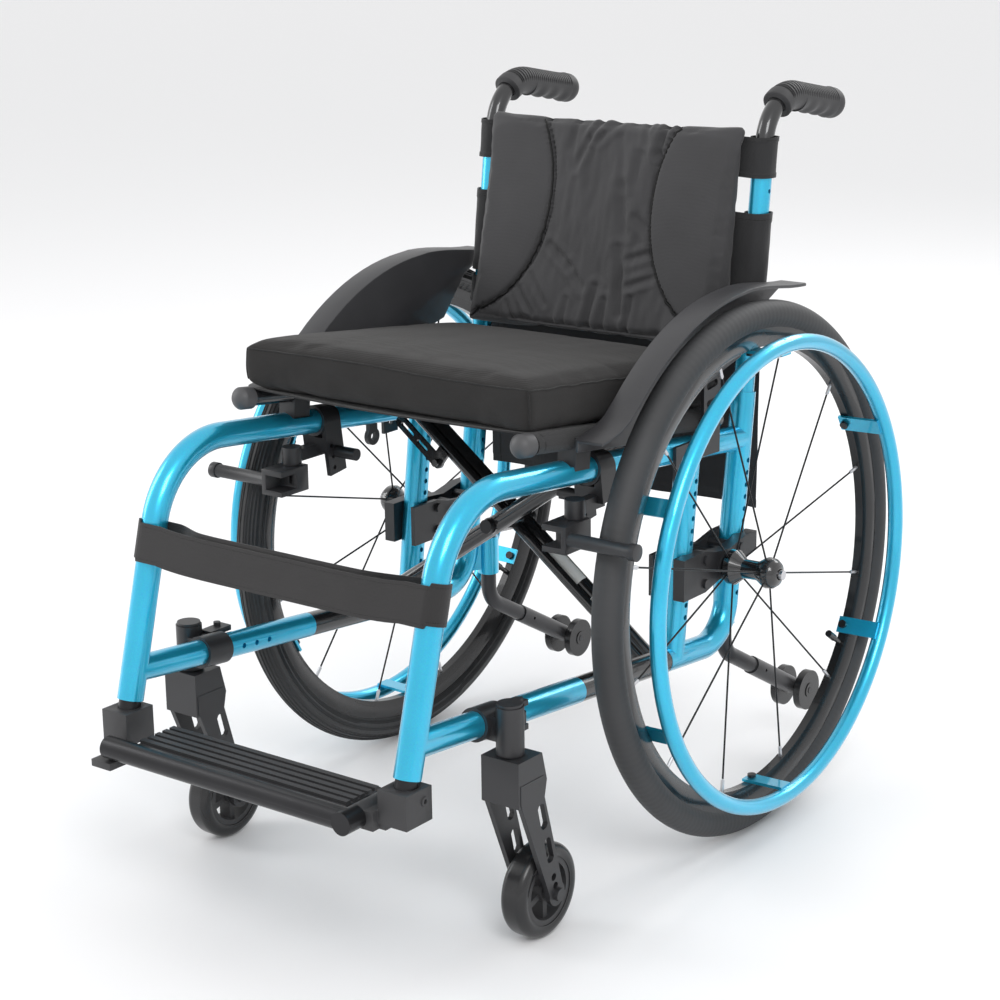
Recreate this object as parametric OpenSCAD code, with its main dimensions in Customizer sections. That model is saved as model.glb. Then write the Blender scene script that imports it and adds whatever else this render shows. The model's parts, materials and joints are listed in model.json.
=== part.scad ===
// Folding manual wheelchair with large self-propelling rear wheels.
// Millimetres, +Z up, the user faces -Y and the user's left side is +X.
// The origin is on the floor, half-way along the chair and half-way across it.
// Pieces are placed from the rear axle: y = 0 in the sizes below is the axle line.

/* [Overall] */
// Distance between the centre planes of the two side frames
frame_gap = 380; // [320:5:480]
// Outside radius of the rear tyre
wheel_r = 305; // [290:1:320]
// Distance from the rear axle forward to the front of the footrest
footrest_reach = 602; // [540:2:700]
// Height of the push handle grips
handle_z = 807; // [740:1:900]

/* [Frame tubes] */
// Outside diameter of the frame tubes
tube_d = 28.6; // [25:0.1:32]
// Fall of the long frame tubes towards the rear, in degrees
rake = 5.5; // [3:0.1:6]
// Height of the upper tube's centre above the axle line
upper_z = 443.4; // [425:0.2:455]
// Height of the lower tube's centre below the axle line
lower_z = 202.4; // [190:0.2:212]
// Backward lean of the front leg, in degrees
leg_lean = 15.1; // [10:0.1:20]
// Place of the front leg's lower end ahead of the axle
leg_foot_y = -545; // [-580:1:-500]
// Height of the front leg's lower end
leg_foot_z = 223; // [205:1:230]
// Centre-line radius of the bend at the top of the leg
leg_bend_r = 100; // [80:1:110]
// Centre-line radius of the bend below the rear upright
rear_bend_r = 50; // [40:1:60]
// Backward lean of the two uprights, in degrees
upright_lean = 7.5; // [4:0.1:9]
// Place of the front upright at axle height
front_upright_y = -61; // [-75:1:-50]
// Place of the rear upright at axle height
rear_upright_y = 51; // [42:1:60]
// Height of the open top of the rear upright
upright_top_z = 490; // [475:1:510]
// Diameter of the adjusting holes through the uprights
adjust_hole_d = 6; // [4:0.1:8]
// Spacing of the adjusting holes
adjust_pitch = 14; // [12:0.5:20]

/* [Cross brace] */
// Place of the brace's centre bolt along the lower tube
brace_y = -136; // [-150:1:-120]
// Radius of the shaft that the brace turns on
pivot_r = 11; // [9:0.1:12]
// Outside radius of the brace's pivot sleeve
sleeve_r = 14; // [13:0.1:14.3]
// Reach of the pivot sleeve ahead of the centre bolt
sleeve_front = 126; // [100:1:140]
// Reach of the pivot sleeve behind the centre bolt
sleeve_rear = 44; // [40:1:60]
// Radius of the main tube of each brace leg
brace_r = 10.5; // [9:0.1:11]
// Radius of the thin tube of each brace leg
brace_thin_r = 6; // [5:0.1:6.5]
// Radius of the centre bolt
bolt_r = 5; // [4:0.1:6]

/* [Seat] */
// Place of the front end of the seat rails
rail_front_y = -356; // [-380:1:-330]
// Height of the front end of the seat rails
rail_front_z = 515; // [512:1:540]
// Length of the seat rails
rail_len = 376; // [330:1:380]
// Radius of the seat rails
rail_r = 9.5; // [8:0.1:11]
// Fall of the seat towards the rear, in degrees
seat_rake = 7; // [5:0.1:7.2]
// Width of the seat cushion
cushion_w = 404; // [300:1:406]
// Depth of the seat cushion from front to back
cushion_len = 384; // [340:1:386]
// Thickness of the cushion at its front edge
cushion_front_t = 42; // [30:1:60]
// Thickness of the cushion at its back edge
cushion_rear_t = 56; // [40:1:80]

/* [Rear wheels] */
// Distance of the tyre's centre plane outside the side frame
wheel_out = 59; // [56:0.5:70]
// Lean of the wheels, tops inwards, in degrees
camber = 1.3; // [0:0.1:1.6]
// Radius of the tyre's round section
tyre_section_r = 17; // [14:0.5:18]
// Radius of the rim's bead seat
rim_bead_r = 270; // [260:1:274]
// Radius of the rim's inside face
rim_inner_r = 254; // [246:1:256]
// Number of spokes in each wheel
spoke_count = 12; // [8:2:24]
// Radius of a spoke
spoke_r = 1.1; // [0.9:0.1:1.5]
// Radius of the handrim's centre line
handrim_ring_r = 262; // [255:0.5:264]
// Radius of the handrim's tube
handrim_tube_r = 9; // [8:0.1:10]
// Distance of the handrim outside the tyre's centre plane
handrim_out = 45; // [38:0.5:50]
// Number of tabs that hold the handrim
tab_count = 6; // [3:1:8]
// Radius of the quick-release axle
axle_r = 6.35; // [6:0.05:8]

/* [Casters] */
// Outside radius of the caster tyre
caster_r = 51; // [45:1:53]
// Width of the caster tyre
caster_w = 30; // [24:1:32]
// Distance of the caster outside the side frame
caster_out = 32; // [31.5:0.5:36]
// Place of the caster's swivel axis
swivel_y = -421; // [-430:1:-410]
// Distance of the caster's axle behind its swivel axis
caster_trail = 46; // [40:1:50]
// Height of the top of the swivel housing
housing_top_z = 270; // [266:1:276]
// Height of the bottom of the swivel housing
housing_foot_z = 216; // [214:1:220]
// Radius of the swivel stem
stem_r = 6; // [5:0.1:8]

/* [Footrest] */
// Height of the top of the footplate
footplate_z = 198; // [192:1:200]
// Radius of the footplate's front tube
foot_tube_r = 12; // [9:0.5:13]
// Depth of the ribbed tread behind the tube
tread_len = 58; // [45:1:62]
// Number of ribs on the tread
rib_count = 5; // [3:1:6]

/* [Fits] */
// Radial clearance of shafts that turn or slide
run_gap = 0.06; // [0.01:0.01:0.1]
// Clearance between pieces that only lie next to each other
seat_gap = 0.3; // [0.2:0.05:0.5]

/* [Hidden] */
$fn = 64;
blue = [0.05, 0.55, 0.78];
black = [0.07, 0.07, 0.08];
satin = [0.13, 0.13, 0.14];
cloth = [0.16, 0.16, 0.17];
steel = [0.7, 0.7, 0.72];
frame_x = frame_gap / 2;
tube_r = tube_d / 2;
// The origin is half-way between the footrest's front and the tyre's back
axle_y = (footrest_reach - wheel_r) / 2;
// The leaning tyre touches the floor, and the axle is as high as that makes it
axle_z = (wheel_r - tyre_section_r) * cos(camber) + tyre_section_r;
wheel_x = frame_x + wheel_out;

function lower_tube_z(y) = lower_z - y * tan(rake);
function upper_tube_z(y) = upper_z - y * tan(rake);
function leg_y(z) = leg_foot_y + (z - leg_foot_z) * tan(leg_lean);
function front_upright(z) = front_upright_y + (z - axle_z) * tan(upright_lean);
function rear_upright(z) = rear_upright_y + (z - axle_z) * tan(upright_lean);
function rail_z(y) = rail_front_z - (y - rail_front_y) * tan(seat_rake);
function unit(v) = v / norm(v);

// Where two sloping lines cross: a tube z = z0 - y tan(rake) and a tube y = y0 + (z - zr) tan(lean)
function cross_z(z0, y0, zr, lean) = (z0 - (y0 - zr * tan(lean)) * tan(rake)) / (1 + tan(lean) * tan(rake));
leg_corner_z = cross_z(upper_z, leg_foot_y, leg_foot_z, leg_lean);
leg_corner = [leg_y(leg_corner_z), leg_corner_z];
rear_corner_z = cross_z(lower_z, rear_upright_y, axle_z, upright_lean);
rear_corner = [rear_upright(rear_corner_z), rear_corner_z];

// Height of the seat rails above the lower pivots, square to the fold axes
brace_h = (rail_front_z - lower_tube_z(brace_y) - (brace_y - rail_front_y) * tan(seat_rake))
    / (cos(rake) + tan(seat_rake) * sin(rake));
brace_tilt = atan(brace_h / frame_gap);
brace_len = norm([frame_gap, brace_h]);
brace_main_v = brace_thin_r * 2 + 14;
brace_thin_v = brace_thin_r + 2;
sleeve_front_y = brace_y - sleeve_front * cos(rake);
sleeve_rear_y = brace_y + sleeve_rear * cos(rake);

// ---- placing ----

// Puts pieces that are drawn from the axle line into the chair's own frame
module chair() { translate([0, axle_y, 0]) children(); }

// Draws a piece of the left side, or its mirror image on the right side
module on_side(s) { chair() if (s > 0) children(); else mirror([1, 0, 0]) children(); }

// Lays a flat outline of (y, z) points in the plane x, so that it is extruded along +X
module in_yz(x) { translate([x, 0, 0]) rotate([90, 0, 90]) children(); }

// A round bar between two points
module rod(a, b, r) {
    d = b - a;
    translate(a)
        rotate([0, acos(d.z / norm(d)), atan2(d.y, d.x)])
            cylinder(h = norm(d), r = r);
}

// A bar in the plane x between two (y, z) points
module side_rod(x, p, q, r) { rod([x, p.x, p.y], [x, q.x, q.y], r); }

// A bar across the chair at one (y, z) point
module cross_rod(p, x0, x1, r) { rod([x0, p.x, p.y], [x1, p.x, p.y], r); }

// A tube in the plane x that runs from p to q with one round bend at the corner c,
// where the straight stretches reach a little way into a bend that is a trace thicker
bend_swell = 0.05;
module bent_tube(x, p, c, q, bend_r, r) {
    u = unit(p - c);
    v = unit(q - c);
    half = acos(u * v) / 2;
    reach = bend_r / tan(half);
    mid = c + unit(u + v) * bend_r / sin(half);
    turn = 180 - 2 * half;
    first = u.x * v.y - u.y * v.x > 0 ? c + v * reach : c + u * reach;
    a = first - mid;
    side_rod(x, p, c + u * (reach - 1), r);
    side_rod(x, q, c + v * (reach - 1), r);
    in_yz(x) translate(mid) rotate(atan2(a.y, a.x))
        rotate_extrude(angle = turn) translate([bend_r, 0]) circle(r = r + bend_swell);
}

// A bar with round ends seen from the side, as a flat outline
module link_outline(p, q, r) {
    d = q - p;
    translate(p) circle(r = r);
    translate(q) circle(r = r);
    translate(p) rotate(atan2(d.y, d.x)) translate([0, -r]) square([norm(d), 2 * r]);
}

// A box given by its two corners
module block(a, b) { translate(a) cube(b - a); }

// ---- side frame ----

// The bent main tube, the lower tube, both uprights and the shaft that carries the brace
module side_frame(s) {
    top_y = rear_upright(upper_tube_z(rear_upright_y));
    foot_weld_z = cross_z(lower_z, leg_foot_y, leg_foot_z, leg_lean);
    foot_weld = [leg_y(foot_weld_z), foot_weld_z];
    front_foot_y = front_upright(cross_z(lower_z, front_upright_y, axle_z, upright_lean));
    color(blue) on_side(s) difference() {
        union() {
            bent_tube(frame_x, [leg_foot_y, leg_foot_z], leg_corner, [top_y, upper_tube_z(top_y)],
                leg_bend_r, tube_r);
            bent_tube(frame_x, [sleeve_rear_y, lower_tube_z(sleeve_rear_y)], rear_corner,
                [rear_upright(upright_top_z), upright_top_z], rear_bend_r, tube_r);
            side_rod(frame_x, foot_weld, [sleeve_front_y, lower_tube_z(sleeve_front_y)], tube_r);
            side_rod(frame_x, [sleeve_front_y - 10, lower_tube_z(sleeve_front_y - 10)],
                [sleeve_rear_y + 10, lower_tube_z(sleeve_rear_y + 10)], pivot_r);
            side_rod(frame_x, [front_foot_y, lower_tube_z(front_foot_y)],
                [front_upright(upper_tube_z(-37)), upper_tube_z(-37)], tube_r);
            antitip_socket();
        }
        antitip_bore();
        leg_bore();
        post_bore();
        saddle_notch();
        for (z = upright_hole_heights) {
            cross_rod([front_upright(z), z], frame_x - 30, frame_x + 30, adjust_hole_d / 2);
            cross_rod([rear_upright(z), z], frame_x - 30, frame_x + 30, adjust_hole_d / 2);
        }
        for (i = [0:4]) lower_hole(-423 + i * 20.5);
    }
}
upright_hole_heights = [for (i = [0:11]) 258 + i * adjust_pitch];

// The open end of the leg, which takes the leg extension
leg_bore_r = tube_r - 2.4;
module leg_bore() {
    side_rod(frame_x, [leg_y(leg_foot_z - 10), leg_foot_z - 10], [leg_y(leg_foot_z + 70), leg_foot_z + 70], leg_bore_r);
}

// The open top of the rear upright, which takes the back post
post_r = tube_r - 2.3;
post_foot_z = upright_top_z - 40;
module post_bore() {
    side_rod(frame_x, [rear_upright(post_foot_z), post_foot_z],
        [rear_upright(upright_top_z + 30), upright_top_z + 30], post_r + 0.05);
}

// The step in the upper tube where the front rail saddle sits
saddle_y = -268;
module saddle_notch() {
    depth = 6;
    in_yz(frame_x - 30) linear_extrude(60) translate([saddle_y, upper_tube_z(saddle_y) + tube_r - depth])
        rotate(-rake) polygon([[-24, 20], [-17, 0], [17, 0], [30, 20]]);
}

// One blind hole for a brace stop in the inner side of the lower tube
module lower_hole(y) { cross_rod([y, lower_tube_z(y)], frame_x - 30, frame_x - 8, 3); }

// The inner tube that sets the footrest's height
extension_foot_z = 196;
module leg_extension(s) {
    color(black) on_side(s) difference() {
        side_rod(frame_x, [leg_y(extension_foot_z), extension_foot_z],
            [leg_y(leg_foot_z + 66), leg_foot_z + 66], leg_bore_r - 0.1);
        cross_rod([leg_y(leg_foot_z + 56), leg_foot_z + 56], frame_x - 30, frame_x + 30, 3);
    }
}

// ---- footrest ----

foot_tube_z = footplate_z - foot_tube_r;
foot_tube_y = -footrest_reach + foot_tube_r;
hinge_x = frame_x - 38;
foot_end_x = -frame_x + 10;
clamp_front = leg_y(198) - 18;
clamp_rear = leg_y(198) + 22;
clamp_bore = leg_bore_r - 0.1;

// The clamp on the left leg extension, with the fork that carries the hinged end of the footplate
module left_footrest_clamp() {
    color(satin) chair() difference() {
        union() {
            clamp_body(1);
            block([hinge_x + 14, clamp_front + 2, foot_tube_z - 12], [frame_x - 10, clamp_front + 34, foot_tube_z + 8]);
            hinge_cheek(foot_tube_y + foot_tube_r + 0.5, clamp_front + 34);
        }
        clamp_hole();
        rod([hinge_x, -700, foot_tube_z], [hinge_x, clamp_rear + 40, foot_tube_z], 5 + run_gap);
        clamp_screw_hole();
    }
}

// The clamp on the right leg extension, with the open cradle that the footplate's free end rests in
module right_footrest_clamp() {
    color(satin) chair() mirror([1, 0, 0]) difference() {
        union() {
            clamp_body(1);
            block([frame_x - 22, foot_tube_y - 10, foot_tube_z - 22], [frame_x + 6, clamp_front + 20, foot_tube_z - 14]);
            block([frame_x - 22, foot_tube_y + 4, foot_tube_z - 22], [frame_x + 6, clamp_front + 6, foot_tube_z - 2]);
        }
        clamp_hole();
        cross_rod([foot_tube_y, foot_tube_z], frame_x - 40, frame_x + 20, foot_tube_r + seat_gap);
        clamp_screw_hole();
    }
}
module clamp_body(s) {
    block([frame_x - 18, clamp_front, extension_foot_z - 16], [frame_x + 18, clamp_rear, extension_foot_z + 20]);
    rod([frame_x + 18, leg_y(203) + 8, 203], [frame_x + 20, leg_y(203) + 8, 203], 5);
}
module clamp_hole() {
    side_rod(frame_x, [leg_y(extension_foot_z - 2), extension_foot_z - 2],
        [leg_y(extension_foot_z + 60), extension_foot_z + 60], clamp_bore + 0.05);
}
module clamp_screw_hole() {
    rod([frame_x + 17, leg_y(203) + 8, 203], [frame_x + 21, leg_y(203) + 8, 203], 2.4);
}
module hinge_cheek(y0, y1) {
    rod([hinge_x, y0, foot_tube_z], [hinge_x, y1, foot_tube_z], 12);
    block([hinge_x, y0, foot_tube_z - 12], [hinge_x + 20, y1, foot_tube_z + 8]);
}

// The round front tube of the footplate with its hinge pin and eye
module footplate_tube() {
    color(satin) chair() union() {
        cross_rod([foot_tube_y, foot_tube_z], foot_end_x, hinge_x, foot_tube_r);
        rod([hinge_x, foot_tube_y, foot_tube_z], [hinge_x, clamp_front + 30, foot_tube_z], 5);
        rod([hinge_x, -footrest_reach, foot_tube_z], [hinge_x, foot_tube_y + foot_tube_r, foot_tube_z], 12);
    }
}

// The ribbed tread behind the front tube
tread_gap = 0.05;
module footplate_tread() {
    front = foot_tube_y + 2;
    rear = foot_tube_y + foot_tube_r + tread_len;
    rib_pitch = (tread_len - 4) / rib_count;
    color(satin) chair() translate([foot_end_x + 32, 0, 0]) difference() {
        in_yz(0) linear_extrude(hinge_x - 16 - (foot_end_x + 32)) union() {
            translate([front, foot_tube_z + 1]) square([rear - front - 4, 5]);
            translate([rear - 4, foot_tube_z + 4]) circle(r = 4);
            for (i = [0:rib_count - 1])
                translate([foot_tube_y + foot_tube_r + 4 + i * rib_pitch, foot_tube_z + 5]) square([rib_pitch * 0.62, 4.5]);
        }
        cross_rod([foot_tube_y, foot_tube_z], -1, 2 * frame_gap, foot_tube_r + tread_gap);
    }
}

// ---- casters ----

caster_x = frame_x + caster_out;
caster_axle_y = swivel_y + caster_trail;
crown_top = housing_foot_z - 1;
crown_foot = 166;
fork_gap = caster_w / 2 + 3;
fork_leg = 6;
caster_bolt_r = 4;

// The swivel housing and the clamp that holds it to the lower tube
module caster_housing(s) {
    mid_z = lower_tube_z(swivel_y);
    color(black) on_side(s) difference() {
        union() {
            translate([caster_x, swivel_y, housing_foot_z]) cylinder(h = housing_top_z - housing_foot_z - 3, r = 14.5);
            translate([caster_x, swivel_y, housing_top_z - 3]) cylinder(h = 3, r = 13);
            side_rod(frame_x, [swivel_y - 18, lower_tube_z(swivel_y - 18)], [swivel_y + 18, lower_tube_z(swivel_y + 18)],
                tube_r + 3.5);
            block([frame_x, swivel_y - 12, mid_z - 13], [caster_x, swivel_y + 12, mid_z + 13]);
            block([frame_x + 8, swivel_y + 10, mid_z - 16], [frame_x + 24, swivel_y + 42, mid_z - 10]);
            block([frame_x + 8, swivel_y + 10, mid_z + 10], [frame_x + 24, swivel_y + 42, mid_z + 16]);
            rod([frame_x + 20, swivel_y + 32, mid_z - 20], [frame_x + 20, swivel_y + 32, mid_z + 20], 4);
            rod([frame_x + 20, swivel_y + 32, mid_z - 7], [frame_x + 20, swivel_y + 32, mid_z + 5], 7);
        }
        side_rod(frame_x, [swivel_y - 60, lower_tube_z(swivel_y - 60)], [swivel_y + 60, lower_tube_z(swivel_y + 60)],
            tube_r + 0.05);
        translate([caster_x, swivel_y, 0]) cylinder(h = housing_top_z - 8, r = stem_r + run_gap);
    }
}

// The fork: a stem, a crown block and two slotted legs
module caster_fork(s) {
    color(black) on_side(s) translate([caster_x, 0, 0]) difference() {
        union() {
            translate([0, swivel_y, crown_top - 2]) cylinder(h = housing_top_z - crown_top - 12, r = stem_r);
            fork_side();
            mirror([1, 0, 0]) fork_side();
            in_yz(0.6 - fork_gap - fork_leg) linear_extrude(2 * (fork_gap + fork_leg - 0.6))
                polygon([[swivel_y - 18, crown_top], [swivel_y + 22, crown_top], [swivel_y + 30, crown_foot + 18],
                    [swivel_y + 26, crown_foot], [swivel_y - 18, crown_foot]]);
            cross_rod(fork_foot, -fork_gap - fork_leg - 3, fork_gap + fork_leg + 3, caster_bolt_r);
            cross_rod(fork_foot, fork_gap + fork_leg - 1, fork_gap + fork_leg + 5, 7);
            cross_rod(fork_foot, -fork_gap - fork_leg - 5, -fork_gap - fork_leg + 1, 7);
        }
        for (i = [1:2]) cross_rod(fork_hole(i), -60, 60, caster_bolt_r);
        in_yz(-60) linear_extrude(120) for (i = [0:1])
            slot_outline(fork_line(0.31 + 0.27 * i), fork_line(0.43 + 0.27 * i), 5.5);
    }
}
module slot_outline(p, q, r) {
    along = unit(q - p);
    across = [-along.y, along.x];
    end = 0.45 * r;
    polygon([p - along * r - across * end, p - along * end - across * r, q + along * end - across * r,
        q + along * r - across * end, q + along * r + across * end, q + along * end + across * r,
        p - along * end + across * r, p - along * r + across * end]);
}
fork_top = [swivel_y + 3, crown_top - 14];
fork_foot = [caster_axle_y, caster_r];
function fork_line(t) = fork_top + (fork_foot - fork_top) * t + [4 * (1 - t), 0];
function fork_hole(i) = fork_foot + unit(fork_top - fork_foot) * 11 * i;
module fork_side() {
    in_yz(fork_gap) linear_extrude(fork_leg) {
        translate(fork_foot) circle(r = 13);
        polygon([[swivel_y - 15, crown_foot + 24], [swivel_y + 24, crown_foot + 24], [swivel_y + 24, crown_foot + 4],
            fork_foot + [11, 3], fork_foot + [-11, -3], [swivel_y - 15, crown_foot + 4]]);
    }
}

// The solid tyre of the caster
module caster_tyre(s) {
    round_r = 9;
    color(black) on_side(s) translate([caster_x, caster_axle_y, caster_r]) rotate([0, 90, 0]) rotate_extrude()
        difference() {
            union() {
                translate([caster_r - round_r, -caster_w / 2 + round_r]) circle(r = round_r);
                translate([caster_r - round_r, caster_w / 2 - round_r]) circle(r = round_r);
                translate([37, -caster_w / 2 + 1]) square([caster_r - round_r - 37, caster_w - 2]);
                translate([caster_r - round_r, -caster_w / 2 + round_r]) square([round_r, caster_w - 2 * round_r]);
            }
            translate([0, -caster_w]) square([37, 2 * caster_w]);
        }
}

// The caster's hub with its rim, five ribs and axle bush
module caster_hub(s) {
    color(black) on_side(s) translate([caster_x, caster_axle_y, caster_r]) rotate([0, 90, 0]) difference() {
        union() {
            translate([0, 0, -13]) difference() {
                cylinder(h = 26, r = 36.9);
                translate([0, 0, -1]) cylinder(h = 28, r = 31);
            }
            translate([0, 0, -fork_gap + seat_gap]) cylinder(h = 2 * (fork_gap - seat_gap), r = 9);
            translate([0, 0, -12]) cylinder(h = 24, r = 12);
            for (i = [0:4]) rotate(i * 72) translate([8, -3.5, -8]) cube([25, 7, 16]);
        }
        translate([0, 0, -50]) cylinder(h = 100, r = caster_bolt_r + run_gap);
    }
}

// ---- fittings on the upper tube ----

// The open saddles that the seat rail drops into, and the tie-down eyelet under the tube
eye_y = -136;
rear_saddle_y = -30;
saddle_outer = tube_r - 0.3;
module tube_fittings(s) {
    color(satin) on_side(s) {
        rail_saddle(saddle_y, 13);
        rail_saddle(rear_saddle_y, 11);
        eyelet();
    }
}
module rail_saddle(y, half) {
    rise = rail_z(y) - upper_tube_z(y);
    difference() {
        translate([frame_x, y, upper_tube_z(y)]) rotate([-rake, 0, 0]) union() {
            block([-9, -half, 6], [saddle_outer, half, rise - 2]);
            block([8, -half, 4], [saddle_outer, half, rise + 4]);
        }
        side_rod(frame_x, [y - 60, rail_z(y - 60)], [y + 60, rail_z(y + 60)], rail_r + seat_gap);
        difference() {
            side_rod(frame_x, [y - 60, upper_tube_z(y - 60)], [y + 60, upper_tube_z(y + 60)], tube_r + 0.05);
            saddle_notch();
        }
    }
}
module eyelet() {
    drop = tube_r + 15;
    z = upper_tube_z(eye_y);
    difference() {
        union() {
            in_yz(frame_x - 3) linear_extrude(6) {
                translate([eye_y, z - drop]) circle(r = 10.5);
                translate([eye_y - 7, z - drop]) square([14, drop - tube_r + 2]);
            }
        }
        cross_rod([eye_y, z - drop], frame_x - 20, frame_x + 20, 4.8);
        side_rod(frame_x, [eye_y - 60, upper_tube_z(eye_y - 60)], [eye_y + 60, upper_tube_z(eye_y + 60)], tube_r + 0.05);
    }
}

// ---- brakes ----

brake_plate_y = -226;
brake_post_y = -270;
brake_post_x = frame_x + 6;
shoe_z = axle_z + 102;
shoe_r = 7.5;
shoe_y = -sqrt(pow(wheel_r, 2) - pow(shoe_z - shoe_r - axle_z, 2)) - shoe_r - 1.2;

// The clamp over the upper tube, the drilled side plates and the pivot post
module brake_mount(s) {
    z = upper_tube_z(brake_plate_y);
    color(black) on_side(s) difference() {
        union() {
            translate([frame_x, brake_plate_y, z]) rotate([-rake, 0, 0]) rotate([90, 0, 0])
                translate([0, 0, -14]) cylinder(h = 28, r = tube_r + 3.5);
            translate([frame_x, brake_plate_y, z]) rotate([8, 0, 0]) {
                block([-tube_r - 3.5, -14, -62], [-tube_r + 2, 14, 0]);
                block([tube_r - 6, -14, -30], [tube_r + 3.5, 14, 0]);
                block([-tube_r - 3.5, -14, -34], [tube_r + 3.5, 14, -tube_r - 2]);
            }
            block([brake_post_x - 7, brake_post_y, shoe_z + 17], [brake_post_x + 5, brake_plate_y + 4, shoe_z + 31]);
            translate([brake_post_x, brake_post_y, shoe_z + 15]) cylinder(h = 20, r = 11);
            translate([brake_post_x, brake_post_y, shoe_z - 16]) cylinder(h = 40, r = 5);
            cross_rod([brake_plate_y + 6, z - 36], frame_x - 48, frame_x - tube_r, 7);
        }
        side_rod(frame_x, [brake_plate_y - 60, upper_tube_z(brake_plate_y - 60)],
            [brake_plate_y + 60, upper_tube_z(brake_plate_y + 60)], tube_r + 0.05);
        for (i = [-2:0]) cross_rod([brake_plate_y + 2 + i * 2, z - 54 - i * 13], frame_x - 60, frame_x - tube_r + 4, 2.6);
    }
}

// The swinging block with its slot and the shoe rod that crosses the front of the tyre
module brake_lever(s) {
    tip_x = frame_x + 103;
    color(black) on_side(s) difference() {
        union() {
            block([brake_post_x - 16, shoe_y - 8, shoe_z - 15], [brake_post_x + 14, brake_post_y + 9, shoe_z + 14.5]);
            rod([brake_post_x + 4, shoe_y, shoe_z], [tip_x, shoe_y, shoe_z], shoe_r);
            rod([tip_x - 9, shoe_y, shoe_z], [tip_x, shoe_y, shoe_z], shoe_r + 1.5);
        }
        translate([brake_post_x, brake_post_y, shoe_z - 30]) cylinder(h = 60, r = 5 + run_gap);
        block([brake_post_x - 20, shoe_y - 20, shoe_z - 9], [brake_post_x + 8, brake_post_y - 12, shoe_z + 8]);
        block([brake_post_x - 9, shoe_y - 20, shoe_z - 5], [brake_post_x - 5, brake_post_y - 7, shoe_z + 8]);
    }
}

// ---- rear wheels ----

// Turns a shape drawn round the Z axis into one round the leaning axle, with 0 in the tyre's plane
module on_axle(s) { on_side(s) translate([wheel_x, 0, axle_z]) rotate([0, 90 - camber, 0]) children(); }

hub_in = -30;
hub_out = 30;
bracket_in = frame_x - 22;
rim_w = 22;

// The tyre, a round section with a flatter tread
module tyre(s) {
    ring_r = wheel_r - tyre_section_r;
    color(black) on_axle(s) rotate_extrude() difference() {
        translate([ring_r, 0]) circle(r = tyre_section_r);
        translate([ring_r - tyre_section_r - 2, -rim_w / 2 - 1.5]) square([rim_bead_r + 6 - (ring_r - tyre_section_r - 2), rim_w + 3]);
        translate([0, -30]) square([rim_bead_r + 0.5, 60]);
    }
}

// The rim with its deep inner wall, the valve and the screws that hold the handrim tabs
module rim(s) {
    color(black) on_axle(s) difference() {
        union() {
            rotate_extrude() polygon([
                [rim_inner_r, -5], [rim_inner_r, 5], [rim_bead_r - 4, rim_w / 2], [rim_bead_r + 5.5, rim_w / 2],
                [rim_bead_r + 5.5, rim_w / 2 - 2], [rim_bead_r, rim_w / 2 - 3], [rim_bead_r - 3, 0],
                [rim_bead_r, -rim_w / 2 + 3], [rim_bead_r + 5.5, -rim_w / 2 + 2], [rim_bead_r + 5.5, -rim_w / 2],
                [rim_bead_r - 4, -rim_w / 2]
            ]);
            for (i = [0:tab_count - 1]) rotate(tab_angle(i)) {
                rotate([0, 90, 0]) translate([0, 0, rim_inner_r - 8]) cylinder(h = 12, r = 2.4);
                rotate([0, 90, 0]) translate([0, 0, rim_inner_r - 8]) cylinder(h = 3, r = 5);
            }
            rotate(valve_angle) rotate([0, 90, 0]) translate([0, 0, rim_inner_r - 30]) cylinder(h = 34, r = 3);
            rotate(valve_angle) rotate([0, 90, 0]) translate([0, 0, rim_inner_r - 34]) cylinder(h = 16, r = 4.2);
        }
        for (i = [0:spoke_count - 1]) rotate(spoke_angle(i)) rotate([0, 90, 0])
            translate([0, 0, rim_inner_r - 10]) cylinder(h = 13, r = spoke_r + 1.15);
    }
}
function spoke_angle(i) = (i + 0.5) * 360 / spoke_count;
function tab_angle(i) = i * 360 / tab_count;
valve_angle = 55;
flange_r = 17;
flange_out = 22;

// The straight spokes, drawn alternately to the hub's outer and inner flange
module spokes(s) {
    color(black) on_axle(s) for (i = [0:spoke_count - 1]) rotate(spoke_angle(i)) {
        side = i % 2 == 0 ? flange_out : -flange_out;
        rod([flange_r - 4.5, 0, side], [rim_inner_r - 3, 0, 0], spoke_r);
        rod([rim_inner_r - 13, 0, side * 10 / (rim_inner_r - flange_r)], [rim_inner_r + 2, 0, 0], spoke_r + 1.05);
    }
}

// The waisted hub with its two flanges and domed cap
module hub(s) {
    color(black) on_axle(s) difference() {
        union() {
            rotate_extrude() difference() {
                polygon([[0, hub_in], [15, hub_in], [flange_r + 3, hub_in + 4], [flange_r + 3, -flange_out + 3], [11, -8],
                    [11, 10], [flange_r - 1, flange_out - 4], [flange_r + 1, flange_out], [flange_r, hub_out],
                    [13, hub_out + 5], [8, hub_out + 7], [0, hub_out + 7]]);
                translate([-1, hub_in - 1]) square([axle_r + run_gap + 1, hub_out - hub_in + 20]);
            }
        }
        for (i = [0:spoke_count - 1]) rotate(spoke_angle(i)) {
            side = i % 2 == 0 ? flange_out : -flange_out;
            rod([flange_r - 5, 0, side], [rim_inner_r, 0, 0], spoke_r + 0.1);
        }
    }
}

// The handrim and the flat tabs that reach to the rim
module handrim(s) {
    color(blue) on_axle(s) difference() {
        union() {
            translate([0, 0, handrim_out]) rotate_extrude() translate([handrim_ring_r, 0]) circle(r = handrim_tube_r);
            for (i = [0:tab_count - 1]) rotate(tab_angle(i))
                block([rim_inner_r - 4, -10, -7], [rim_inner_r - 0.6, 10, handrim_out]);
        }
        for (i = [0:tab_count - 1]) rotate(tab_angle(i)) rotate([0, 90, 0])
            translate([0, 0, rim_inner_r - 20]) cylinder(h = 30, r = 2.5);
    }
}

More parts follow.
